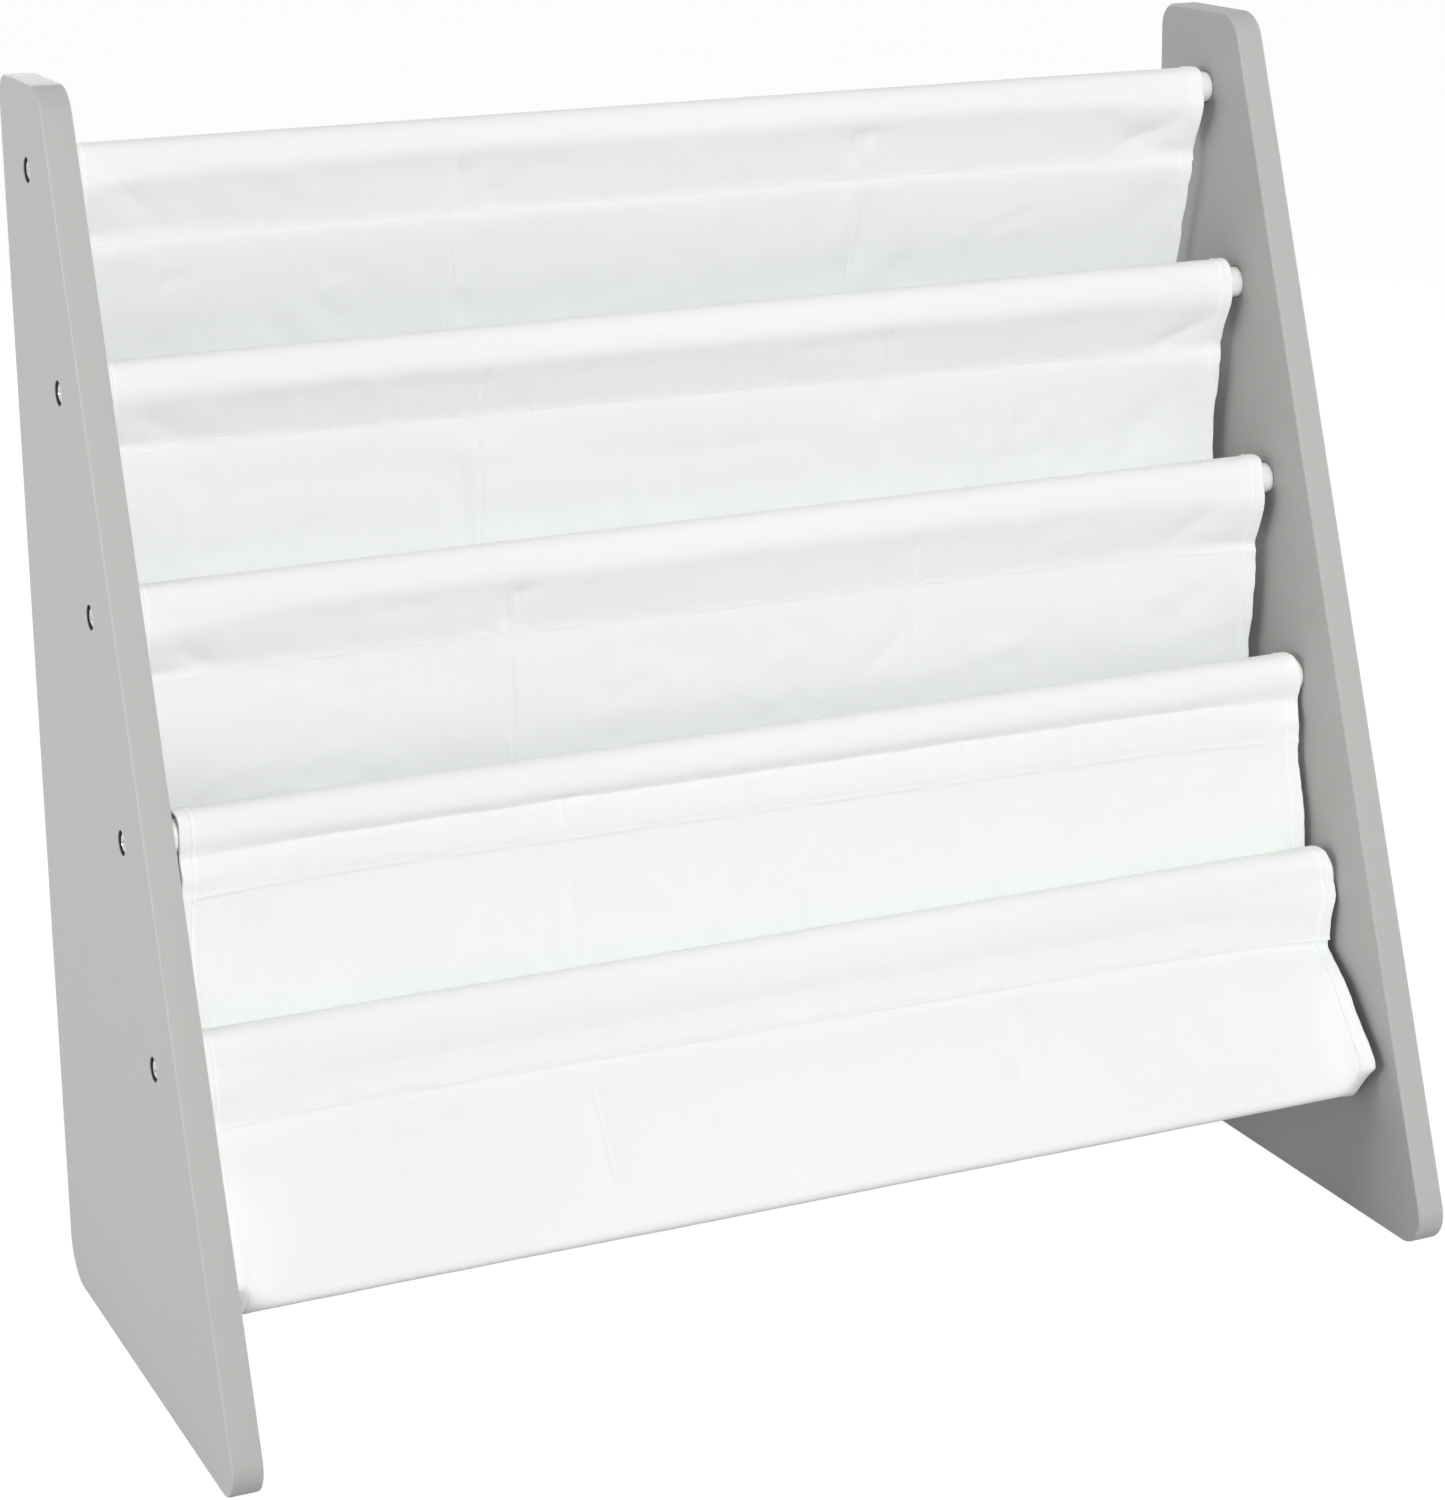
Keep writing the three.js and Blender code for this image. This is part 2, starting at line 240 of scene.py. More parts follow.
floor_paint = new_finish("floor_white")
seen = seen_directly(floor_paint)
dim = (FLOOR_BOUNCE, FLOOR_BOUNCE, FLOOR_BOUNCE, 1)
lit = floor_paint.node("BsdfDiffuse", {}, {"Color": floor_paint.tint(seen, dim, WHITE)})
glow = floor_paint.node("Emission", {}, {"Color": WHITE, "Strength": FLOOR_WHITE})
blend = floor_paint.node("MixShader", {}, {0: seen * FLOOR_GLOW, 1: lit, 2: glow})
floor_paint.node("OutputMaterial", {}, {"Surface": blend})

floor_mesh = bpy.data.meshes.new("floor")
floor_mesh.from_pydata(
    [(x * FLOOR_HALF, y * FLOOR_HALF, 0) for x, y in ((-1, -1), (1, -1), (1, 1), (-1, 1))],
    [],
    [(0, 1, 2, 3)],
)
floor_mesh.materials.append(floor_paint.owner)
floor = put_in_scene("floor", floor_mesh)

world = bpy.data.worlds.new("studio")
bpy.context.scene.world = world
air = Finish(world)
strength = seen_directly(air) * (1 - WORLD_LIGHT) + WORLD_LIGHT
background = air.node("Background", {}, {"Color": WHITE, "Strength": strength})
air.node("OutputWorld", {}, {"Surface": background})
print("floor", 2 * FLOOR_HALF, "m wide, world at", WORLD_LIGHT)

# %% Lamps
RACK_MIDDLE = Vector((0, 0, 0.3))


def softbox(name, place, width, level):
    """A square area lamp that looks at the middle of the rack. At level 1 it alone shows a
    surface there, looking straight at it, in that surface's own colour."""
    place = Vector(place)
    away = place - RACK_MIDDLE
    light = bpy.data.lights.new(name, "AREA")
    light.shape = "SQUARE"
    light.size = width
    light.energy = level * math.pi**2 * away.length_squared
    lamp = put_in_scene(name, light)
    turn = away.to_track_quat("Z", "Y").to_matrix().to_4x4()
    lamp.matrix_world = Matrix.Translation(place) @ turn
    return lamp


lamps = [
    softbox("front_softbox", (0.1, -2.8, 1.6), 0.9, 0.72),
    softbox("overhead_softbox", (0, 0.9, 2.4), 1.4, 0.2),
    softbox("left_softbox", (-2.4, 0.05, 0.55), 0.7, 0.5),
    softbox("right_softbox", (2.4, 0.05, 0.55), 0.7, 0.4),
    softbox("back_softbox", (0, 2.8, 1.1), 1.0, 0.3),
]
print("lamps:", [(lamp.name, round(lamp.data.energy)) for lamp in lamps])

# %% [markdown]
# ## Sizes read from the frame
#
# The rods' axes, the panels' faces and the cloth's width aren't typed in again: they are read
# from the boxes of the CAD pieces. Rod 1 is the top one.

# %% Sizes from the frame
RODS = 5


def box_mm(node):
    """Lowest and highest corner of a CAD node, in millimetres."""
    return [np.array(corner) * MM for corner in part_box(node)]


rod_boxes = [box_mm(f"rod_{number + 1}") for number in range(RODS)]
rod_y = np.array([(low[1] + high[1]) / 2 for low, high in rod_boxes])
rod_z = np.array([(low[2] + high[2]) / 2 for low, high in rod_boxes])
rod_reach = rod_boxes[0][1][0]
rod_radius = (rod_boxes[0][1][2] - rod_boxes[0][0][2]) / 2
step_back = rod_y[0] - rod_y[1]
step_down = rod_z[0] - rod_z[1]
panel_low, panel_high = box_mm("right_side_panel")
panel_thickness = panel_high[0] - panel_low[0]
outer_face_x = panel_high[0]
inner_face_x = panel_low[0]
cloth_low, cloth_high = box_mm("pocket_1")
cloth_half = (cloth_high[0] - cloth_low[0]) / 2
print("rods at", list(zip(rod_y.round(1), rod_z.round(1))))
print(f"step down {step_down:.2f}, back {step_back:.2f}, cloth {2 * cloth_half:.0f} mm wide")

# %% [markdown]
# ## From arrays to a piece
#
# A surface is a grid of points, so its faces are known from the grid's size alone. `new_piece`
# puts points and faces into a mesh, shades it smooth except at real edges, parents it to the
# body it moves with, and hides the CAD pieces that it stands for. `add_map` gives every point of a
# mesh two more numbers, which a material reads as a UV map.

# %% Grids and pieces
WELD_DISTANCE = 1e-6


def grid_faces(rows, columns, around=False):
    """Four-cornered faces of a grid of points; around=True joins its last column to its first."""
    spans = columns if around else columns - 1
    row, column = np.meshgrid(np.arange(rows - 1), np.arange(spans), indexing="ij")
    following = (column + 1) % columns
    corners = [
        row * columns + column,
        row * columns + following,
        (row + 1) * columns + following,
        (row + 1) * columns + column,
    ]
    return np.stack(corners, -1).reshape(-1, 4)


def joined(parts):
    """Parts of (points, faces) as one array of points, and blocks of faces that count on."""
    starts = np.cumsum([0] + [len(points) for points, _ in parts])
    faces = [block + start for (_, block), start in zip(parts, starts)]
    return np.concatenate([points for points, _ in parts]), faces


def new_piece(name, points, faces, finish, slot, replaces, weld=True, sharp=32):
    """A piece of the rack from points in mm and blocks of faces. Edges that turn by more than
    sharp degrees stay sharp."""
    mesh = bpy.data.meshes.new(name)
    corners = [face for block in faces for face in np.asarray(block).tolist()]
    mesh.from_pydata(np.asarray(points).reshape(-1, 3) / MM, [], corners)
    if weld:
        shell = bmesh.new()
        shell.from_mesh(mesh)
        bmesh.ops.remove_doubles(shell, verts=shell.verts, dist=WELD_DISTANCE)
        bmesh.ops.dissolve_degenerate(shell, edges=shell.edges, dist=WELD_DISTANCE / 10)
        bmesh.ops.recalc_face_normals(shell, faces=shell.faces)
        shell.to_mesh(mesh)
        shell.free()
    mesh.shade_smooth()
    mesh.set_sharp_from_angle(angle=math.radians(sharp))
    mesh.materials.append(finish.owner)
    piece = put_in_scene(name, mesh)
    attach(piece, "root")
    if replaces:
        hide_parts(*replaces)
    return piece


def add_map(mesh, name, pairs):
    """Gives each corner of a mesh's faces the pair of numbers of its point."""
    corner = np.zeros(len(mesh.loops), np.int32)
    mesh.loops.foreach_get("vertex_index", corner)
    flat = pairs[corner].astype(np.float32).ravel()
    mesh.uv_layers.new(name=name).data.foreach_set("uv", flat)


def turned(profile, y, z, segments, side=1):
    """A profile of (radius, x) pairs carried round an axis along X through (y, z)."""
    radius, x = np.array(profile, float).T
    angle = np.linspace(0, 2 * np.pi, segments, endpoint=False)
    points = np.stack(
        [
            np.repeat(side * x[:, None], segments, 1),
            y + radius[:, None] * np.cos(angle),
            z + radius[:, None] * np.sin(angle),
        ],
        -1,
    )
    return points.reshape(-1, 3), grid_faces(len(profile), segments, around=True)


print("grids and pieces are ready")

# %% [markdown]
# ## Paint on board
#
# The panels are medium board, sanded and sprayed with a satin light grey. Sprayed paint isn't
# quite flat: it has a faint orange peel a few millimetres across, and finer grain from the
# board under it. Both go into a bump. The gloss changes a little in the same places, and the
# colour hardly at all. The walls of the holes are coloured near black where a map called bore
# says: painted shade for the deep narrow gaps round the screw heads and the rod ends. The rods
# have the same paint in off-white, with long faint marks from the dowel's grain.

# %% Paint
PEEL_SCALE = 420
GRAIN_SCALE = 1500
CLOUD_SCALE = 9
CLOUD_SHADE = 0.955
GRAIN_GLOSS = 0.16
CLOUD_GLOSS = 0.06
PAINT_RELIEF = 0.00006
# Near black for the walls of the holes: painted shade for their deep, narrow gaps.
PAINTED_BORE_SHADE = (0.06, 0.058, 0.054, 1)


def sprayed_paint(name, colour, roughness, grain=(1, 1, 1), shade_bores=False):
    """Satin paint: orange peel and sanding grain in the bump, slight changes in gloss. With
    shade_bores, painted shade darkens the holes where the bore map is 1.
    """
    finish = new_finish(name)
    place = finish.place()
    peel = finish.speckle(place, PEEL_SCALE, 1)
    board = finish.speckle(place, GRAIN_SCALE, 3, grain)
    cloud = finish.speckle(place, CLOUD_SCALE, 3)
    shade = [channel * CLOUD_SHADE for channel in colour]
    surface = finish.tint(cloud, (*shade, 1), (*colour, 1))
    if shade_bores:
        # Painted shade: the walls of the holes go near black where the bore map is 1.
        bore = finish.node("SeparateXYZ", {}, {0: finish.node("UVMap", {"uv_map": "bore"}, {})})
        surface = finish.tint(bore.held(), surface, PAINTED_BORE_SHADE)
    finish.surface(
        Base_Color=surface,
        Roughness=roughness + (board - 0.5) * GRAIN_GLOSS + (cloud - 0.5) * CLOUD_GLOSS,
        Normal=finish.bump(peel * 0.7 + board * 0.3, PAINT_RELIEF),
        Specular_IOR_Level=0.3,
    )
    return finish


panel_paint = sprayed_paint("panel_grey_satin", (0.472, 0.484, 0.465), 0.58, shade_bores=True)
rod_paint = sprayed_paint("rod_white_satin", (0.86, 0.87, 0.85), 0.45, (0.06, 1, 1))
print("paints:", panel_paint.owner.name, rod_paint.owner.name)

# %% [markdown]
# ## The side panels
#
# Each side is one board cut to a sloping outline with four rounded corners. It could be a box
# with a bevel, but its outline isn't a box and the screws need round holes, so it is swept: a
# cross-section, which is the eased edge, is carried along the outline. The two flat faces are
# then filled between the outline and the holes, and each hole is a profile turned round its
# rod's axis: the screw's counterbore outside, a clearance hole, and the rod's socket inside.

# %% Outline of a panel
FOOT_DEPTH = 284
TOP_DEPTH = 73
CORNER_RADII = (16, 22, 12, 18)


def rounded_outline(corners, arc_steps=16, edge_step=22):
    """Points of a closed outline and their outward normals; each corner (y, z, radius) is an
    arc that touches both of its edges, and the straight edges are cut into short lengths."""
    arcs = []
    corners = np.array(corners, float)
    neighbours = zip(corners, np.roll(corners, 1, 0), np.roll(corners, -1, 0))
    for corner, before, after in neighbours:
        back, on = before[:2] - corner[:2], after[:2] - corner[:2]
        back, on = back / np.linalg.norm(back), on / np.linalg.norm(on)
        half = math.acos(back @ on) / 2
        inward = (back + on) / np.linalg.norm(back + on)
        centre = corner[:2] + inward * corner[2] / math.sin(half)
        reach = corner[2] / math.tan(half)
        first, last = corner[:2] + back * reach - centre, corner[:2] + on * reach - centre
        start = math.atan2(first[1], first[0])
        sweep = (math.atan2(last[1], last[0]) - start) % (2 * math.pi)
        angle = start + sweep * np.linspace(0, 1, arc_steps + 1)
        out = np.stack([np.cos(angle), np.sin(angle)], 1)
        arcs.append((centre + corner[2] * out, out))
    points, normals = [], []
    for (arc, out), (following, _) in zip(arcs, arcs[1:] + arcs[:1]):
        gap = following[0] - arc[-1]
        count = int(np.linalg.norm(gap) // edge_step)
        share = np.arange(1, count + 1)[:, None] / (count + 1)
        points += [arc, arc[-1] + share * gap]
        normals += [out, np.repeat(out[-1:], count, 0)]
    return np.concatenate(points), np.concatenate(normals)


back_y = panel_high[1]
panel_top = panel_high[2]
panel_corners = [
    (back_y - FOOT_DEPTH, 0, CORNER_RADII[0]),
    (back_y, 0, CORNER_RADII[1]),
    (back_y, panel_top, CORNER_RADII[2]),
    (back_y - TOP_DEPTH, panel_top, CORNER_RADII[3]),
]
outline, outline_normals = rounded_outline(panel_corners)
print("outline:", len(outline), "points, deepest", np.ptp(outline[:, 0]).round(2), "mm")

# %% The two panels
EDGE_EASING = 1.2
EASING_STEPS = 6
FLAT_BAND = 0.5
HOLE_EASING = 0.35
COUNTERBORE_RADIUS = 6
COUNTERBORE_DEPTH = 3.6
SCREW_HOLE_RADIUS = 2.3
SOCKET_RADIUS = rod_radius + 0.4
SOCKET_DEPTH = 6
HOLE_SEGMENTS = 56
PAINTED_RIM = 0.6
MAP_MARGIN = 0.05


def eased(radius, wall, face):
    """A quarter arc from a flat face into a wall: pairs of distance across the face and x."""
    angle = np.linspace(0, np.pi / 2, EASING_STEPS + 1)
    across = wall + radius * (1 - np.sin(angle))
    return list(zip(across, face - radius * (1 - np.cos(angle))))


def map_the_bores(mesh):
    """A map that is 1 where a point lies in a hole, below the rim that the grey paint reaches, and
    0 elsewhere; the panel paint puts painted shade there.
    """
    points = np.zeros(len(mesh.vertices) * 3, np.float32)
    mesh.vertices.foreach_get("co", points)
    x, y, z = points.reshape(-1, 3).T * MM
    away = np.min([np.hypot(y - a, z - b) for a, b in zip(rod_y, rod_z)], axis=0)
    depth = np.minimum(outer_face_x - np.abs(x), np.abs(x) - inner_face_x)
    bore = (away < SOCKET_RADIUS + MAP_MARGIN) & (depth > PAINTED_RIM - MAP_MARGIN)
    add_map(mesh, "bore", np.repeat(bore[:, None], 2, 1))


def side_panel(name, side):
    """A panel's parts: its swept edge, its five turned holes, and its two flat faces."""
    half = panel_thickness / 2
    middle_x = side * (outer_face_x - half)
    outer = eased(EDGE_EASING, 0, half)
    inner = [(inset, -x) for inset, x in reversed(outer)]
    section = [(EDGE_EASING + FLAT_BAND, half), *outer, *inner, (EDGE_EASING + FLAT_BAND, -half)]
    inset, x = np.array(section).T
    swept = outline[None] - outline_normals[None] * inset[:, None, None]
    x = np.repeat((middle_x + side * x)[:, None], len(outline), 1)
    edge = np.concatenate([x[..., None], swept], -1).reshape(-1, 3)
    parts = [(edge, grid_faces(len(section), len(outline), around=True))]
    rims = {1: [swept[0]], -1: [swept[-1]]}

    socket = eased(HOLE_EASING, SOCKET_RADIUS, half)
    hole = [
        (COUNTERBORE_RADIUS + HOLE_EASING + FLAT_BAND, half),
        *eased(HOLE_EASING, COUNTERBORE_RADIUS, half),
        (COUNTERBORE_RADIUS, half - PAINTED_RIM),
        (COUNTERBORE_RADIUS, half - COUNTERBORE_DEPTH),
        (SCREW_HOLE_RADIUS, half - COUNTERBORE_DEPTH),
        (SCREW_HOLE_RADIUS, SOCKET_DEPTH - half),
        (SOCKET_RADIUS, SOCKET_DEPTH - half),
        (SOCKET_RADIUS, PAINTED_RIM - half),
        *[(radius, -x) for radius, x in reversed(socket)],
        (SOCKET_RADIUS + HOLE_EASING + FLAT_BAND, -half),
    ]
    for y, z in zip(rod_y, rod_z):
        points, around = turned(hole, y, z, HOLE_SEGMENTS, side)
        points[:, 0] += middle_x
        parts.append((points, around))
        rims[1].append(points[:HOLE_SEGMENTS, 1:])
        rims[-1].append(points[-HOLE_SEGMENTS:, 1:])

    for way, loops in rims.items():
        flat = np.concatenate(loops)
        filled = tessellate_polygon([[Vector((*p, 0)) for p in loop] for loop in loops])
        face_x = np.full((len(flat), 1), middle_x + side * way * half)
        parts.append((np.hstack([face_x, flat]), np.array([tuple(face) for face in filled])))
    stands_for = [f"{name}_side_panel"]
    piece = new_piece(f"{name}_panel", *joined(parts), panel_paint, "panel_paint", stands_for)
    map_the_bores(piece.data)
    return piece


panels = [side_panel("left", -1), side_panel("right", 1)]
print("panels:", [(panel.name, len(panel.data.polygons)) for panel in panels])

# %% [markdown]
# ## The rods
#
# A rod is a dowel turned true, so half of its outline, carried round its axis, is all that it
# needs. Its ends have a small chamfer and a pilot hole for the screw. The ends sit in the
# panels' sockets, and a thin dark gap shows round them, from the painted shade on the sockets'
# walls.

# %% Five rods
ROD_CHAMFER = 1.0
CHAMFER_ROUND = 0.3
PILOT_DEPTH = 22
ROD_SEGMENTS = 72
ROD_LENGTHS = 24


def rod(number):
    """One rod: pilot hole, end, chamfer, long side, and the same again mirrored."""
    end = [
        (0, rod_reach - PILOT_DEPTH),
        (SCREW_HOLE_RADIUS, rod_reach - PILOT_DEPTH),
        (SCREW_HOLE_RADIUS, rod_reach),
        (rod_radius - ROD_CHAMFER, rod_reach),
        (rod_radius - ROD_CHAMFER * CHAMFER_ROUND, rod_reach - ROD_CHAMFER * CHAMFER_ROUND),
        (rod_radius, rod_reach - ROD_CHAMFER),
    ]
    cuts = np.linspace(rod_reach, -rod_reach, ROD_LENGTHS + 1)[1:-1]
    lengths = [(rod_radius, x) for x in cuts]
    profile = [*end, *lengths, *[(radius, -x) for radius, x in reversed(end)]]
    points, faces = turned(profile, rod_y[number], rod_z[number], ROD_SEGMENTS)
    name = f"dowel_{number + 1}"
    return new_piece(name, points, [faces], rod_paint, "rod_paint", [f"rod_{number + 1}"])


rods = [rod(number) for number in range(RODS)]
print("rods:", [piece.name for piece in rods], f"{2 * rod_reach:.1f} mm long")

# %% [markdown]
# ## The screws
#
# Ten zinc-plated pan-head screws hold the rods. A head is a low dome with a cross recess. A
# boolean cut would leave thin slivers, so the dome is a grid of radius and angle whose height
# drops where the grid point lies in the cross. The same grid goes on over the rim, under the
# head and down the shank to the point.

# %% Zinc-plated steel
CRYSTAL_SCALE = 2600
STAIN_SCALE = 350
ZINC_RELIEF = 0.00002

steel = new_finish("screw_zinc")
place = steel.place()
crystals = steel.speckle(place, CRYSTAL_SCALE, 3)
stain = steel.speckle(place, STAIN_SCALE, 2)
steel.surface(
    Base_Color=steel.tint(stain, (0.58, 0.59, 0.60, 1), (0.70, 0.71, 0.72, 1)),
    Metallic=1.0,
    Roughness=0.27 + crystals * 0.14,
    Normal=steel.bump(crystals, ZINC_RELIEF),
)
print("steel:", steel.owner.name)

# %% Ten screws
HEAD_RADIUS = 5.0
HEAD_RIM = 1.2
HEAD_HEIGHT = 2.6
RECESS_HALF_SPAN = 2.5
RECESS_HALF_SLOT = 0.6
RECESS_DEPTH = 1.7
RECESS_SLOPE = 0.12
RECESS_TAPER = 0.45
SHANK_RADIUS = 2.0
SCREW_LENGTH = 38
POINT_LENGTH = 6
SEAT_GAP = 0.3
SCREW_TURN = 37
SCREW_SEGMENTS = 96
# The rings of a head's grid as shares of its radius, denser where the cross is cut.
RECESS_RINGS = np.linspace(0, 0.6, 24)
RIM_RINGS = np.linspace(0.64, 1, 9)


def screw(label, side, number):
    """Pan head: height = rim + crown * sqrt(1 - (r / R)^4) less the depth of the cross."""
    angle = np.linspace(0, 2 * np.pi, SCREW_SEGMENTS, endpoint=False)
    radius = HEAD_RADIUS * np.concatenate([RECESS_RINGS, RIM_RINGS])
    across, up = radius[:, None] * np.cos(angle), radius[:, None] * np.sin(angle)
    crown = np.sqrt(1 - (radius / HEAD_RADIUS) ** 4)[:, None]
    height = HEAD_RIM + (HEAD_HEIGHT - HEAD_RIM) * crown * np.ones_like(across)
    taper = 1 - RECESS_TAPER * np.clip(radius / RECESS_HALF_SPAN, 0, 1)[:, None]
    arms = [
        np.maximum(abs(a) / RECESS_HALF_SPAN, abs(b) / RECESS_HALF_SLOT)
        for a, b in ((across, up), (up, across))
    ]
    inside = np.clip((1 + RECESS_SLOPE - np.minimum(*arms)) / (2 * RECESS_SLOPE), 0, 1)
    height = height - RECESS_DEPTH * taper * inside
    lower = [
        (HEAD_RADIUS, 0),
        (SHANK_RADIUS, 0),
        (SHANK_RADIUS, POINT_LENGTH - SCREW_LENGTH),
        (0, -SCREW_LENGTH),
    ]
    lower_radius, lower_height = np.array(lower, float).T
    radius = np.concatenate([radius, lower_radius])
    height = np.concatenate([height, np.repeat(lower_height[:, None], len(angle), 1)])
    turn = angle + math.radians(SCREW_TURN) * (number + 1)
    seat = outer_face_x - COUNTERBORE_DEPTH + SEAT_GAP
    points = np.stack(
        [
            side * (seat + height),
            rod_y[number] + radius[:, None] * np.cos(turn),
            rod_z[number] + radius[:, None] * np.sin(turn),
        ],
        -1,
    )
    faces = grid_faces(len(radius), len(angle), around=True)
    node = f"{label}_screw_{number + 1}"
    return new_piece(f"{node}_head_and_shank", points, [faces], steel, "screw_steel", [node])


sides = (("left", -1), ("right", 1))
screws = [screw(label, side, number) for label, side in sides for number in range(RODS)]
print("screws:", len(screws), "of", len(screws[0].data.polygons), "faces")

# %% [markdown]
# ## The sling's shape
#
# The sling is one long canvas. From behind each rod it goes up and over the rod and down its
# front to a seam that closes the tunnel. It then hangs as the back wall of a pocket, turns
# round the pocket's bottom and rises to the seam of the next rod. It could be draped by a cloth
# simulation, but canvas pulled tight by its own seams keeps a definite shape, and that shape is
# what the photograph shows. So it is a surface: a profile in Y and Z for each place X across.
#
# The profile's parts are a leg up the back of the rod, half a superellipse over it, and natural
# cubic splines down the front of the rod and round the pocket. The corners of the first spline
# are shares of half a tunnel's width, forward, and of the seam's drop, down. Those of the second
# are shares of the rods' own steps: back from the lower rod, and down from the upper rod.

# %% Numbers of the sling
CLOTH = 0.7
LAYER_OFFSET = 0.4
TUNNEL_SLACK = 0.5
TUNNEL_RISE = (2.2, 4.4, 4.4, 3.6, 6.4)
SEAM_DROP = (0.355, 0.325, 0.335, 0.28, 0.29)
SEAM_SETBACK = (0.073, 0.123, 0, -0.22, -0.264)
SEAM_TILT = (0, 2.4, 1.6, 2.2, 1.2)
SEAM_START = 0.5
SEAM_RUN = 4
CREST_POWER = 2.15
CREST_POWER_GAIN = 0.5
CREST_FALL = 0.1
CREST_START = 0.03
KNOT_POWER = 0.6
END_SAG = 3.5
END_LEAN = 2.0
END_REACH = 110
# Down the front of each rod: in the middle of the sling, and at its two sides.
FRONTS = (
    (
        ((1, 0), (0.98, 0.09), (0.84, 0.19), (0.63, 0.31), (0.41, 0.46), (0.17, 0.65), (-0.05, 0.83)),
        ((1.07, 0), (1.2, 0.1), (1.25, 0.2), (1.05, 0.36), (0.7, 0.54), (0.3, 0.72), (0, 0.86)),
    ),
    (
        ((1, 0), (0.97, 0.1), (0.82, 0.21), (0.57, 0.33), (0.31, 0.49), (0.0, 0.69), (-0.25, 0.86)),
        ((1, 0), (0.95, 0.11), (0.87, 0.22), (0.62, 0.38), (0.3, 0.56), (-0.05, 0.75), (-0.27, 0.88)),
    ),
    (
        ((1, 0), (0.98, 0.1), (0.86, 0.21), (0.69, 0.34), (0.52, 0.5), (0.33, 0.68), (0.17, 0.84)),
        ((1.05, 0), (1.16, 0.12), (1.21, 0.25), (1.08, 0.4), (0.75, 0.6), (0.42, 0.78), (0.2, 0.89)),
    ),
    (
        ((1, 0), (0.94, 0.12), (0.78, 0.22), (0.68, 0.31), (0.71, 0.42), (0.81, 0.62), (0.93, 0.83)),
        ((1, 0), (0.93, 0.13), (0.84, 0.25), (0.86, 0.36), (0.97, 0.5), (1.14, 0.7), (1.1, 0.86)),
    ),
    (
        ((1.06, 0), (1.09, 0.14), (1.02, 0.28), (0.93, 0.42), (0.94, 0.59), (1.04, 0.8), (1.1, 0.9)),
        ((1.19, 0), (1.38, 0.17), (1.48, 0.33), (1.49, 0.42), (1.4, 0.6), (1.29, 0.8), (1.25, 0.9)),
    ),
)
POCKETS = (
    (
        (1.46, 0.98), (1.5, 1.4), (1.48, 1.85), (1.38, 2.14), (1.18, 2.32),
        (0.94, 2.33), (0.74, 2.16), (0.58, 1.88), (0.36, 1.6),
    ),
    (
        (1.2, 0.79), (1.16, 0.98), (1.14, 1.4), (1.1, 1.85), (1, 2.14), (0.8, 2.32),
        (0.56, 2.33), (0.38, 2.16), (0.26, 1.88), (0.12, 1.6),
    ),
    (
        (1.02, 0.82), (1.08, 0.98), (1.1, 1.4), (1.04, 1.85), (0.92, 2.14), (0.7, 2.32),
        (0.46, 2.33), (0.26, 2.16), (0.1, 1.88), (-0.08, 1.6),
    ),
    (
        (0.6, 0.58), (0.47, 0.78), (0.43, 0.98), (0.44, 1.2), (0.42, 1.56), (0.25, 1.9),
        (-0.06, 2.1), (-0.5, 2.14), (-0.9, 2.125), (-1.13, 2.11), (-1.24, 2.085), (-1.36, 2.035),
        (-1.58, 1.945), (-1.73, 1.86), (-1.28, 1.67), (-0.78, 1.5),
    ),
)
# The last corners of the lowest pocket away from its hems, where its bottom is pressed flat.
PRESSED_TIER = 3
PRESSED = (
    (-0.06, 2.1), (-0.5, 2.125), (-0.95, 2.11), (-1.35, 2.07), (-1.56, 2.04), (-1.65, 2.01),
    (-1.585, 1.965), (-1.32, 1.845), (-0.97, 1.665), (-0.66, 1.5),
)
PRESSED_FOLD = 252
PRESSED_HEM_REACH = 10


def has_pocket(number):
    return number < len(POCKETS)


def nearness(x):
    """From 0 in the middle of the sling to 1 at a side edge."""
    return (1 - np.minimum((cloth_half - np.abs(x)) / END_REACH, 1)) ** 2


def seam_place(number, x):
    """Y and Z of a seam, between the two layers that it joins."""
    y = rod_y[number] + SEAM_SETBACK[number] * step_back - END_LEAN * nearness(x)
    z = rod_z[number] - SEAM_DROP[number] * step_down - END_SAG * nearness(x)
    return y, z - SEAM_TILT[number] * x / cloth_half


def natural_spline(knots, corners, at):
    """The curve through all corners whose bend never jumps and is none at its ends."""
    gap = np.diff(knots)
    inner = np.arange(1, len(knots) - 1)
    system = np.eye(len(knots))
    system[inner, inner - 1] = gap[:-1]
    system[inner, inner] = 2 * (gap[:-1] + gap[1:])
    system[inner, inner + 1] = gap[1:]
    slope = np.diff(corners, axis=0) / gap[:, None, None]
    known = np.zeros_like(corners)
    known[1:-1] = 6 * np.diff(slope, axis=0)
    bend = np.linalg.solve(system, known.reshape(len(knots), -1)).reshape(corners.shape)
    i = np.clip(np.searchsorted(knots, at, side="right") - 1, 0, len(gap) - 1)
    span = gap[i][:, None, None]
    late = (at - knots[i])[:, None, None] / span
    early = 1 - late
    curved = (early**3 - early) * bend[i] + (late**3 - late) * bend[i + 1]
    return early * corners[i] + late * corners[i + 1] + curved * span**2 / 6


def curve_through(corners, t):
    """The natural spline through corners (corner, x, 2), with knots by a power of distance."""
    middle = corners[:, corners.shape[1] // 2]
    chords = np.linalg.norm(np.diff(middle, axis=0), axis=1) ** KNOT_POWER
    return natural_spline(np.concatenate([[0], np.cumsum(chords)]) / chords.sum(), corners, t)


print("pockets have", [len(pocket) for pocket in POCKETS], "inner corners")

# %% Profile of a tier
half_tunnel = rod_radius + TUNNEL_SLACK + CLOTH / 2


def front_corners(number, x):
    """Corners down the front of a rod as shares (corner, x, 2), between middle and sides."""
    middle, side = np.array(FRONTS[number])[..., None, :]
    return middle + (side - middle) * nearness(x)[:, None]


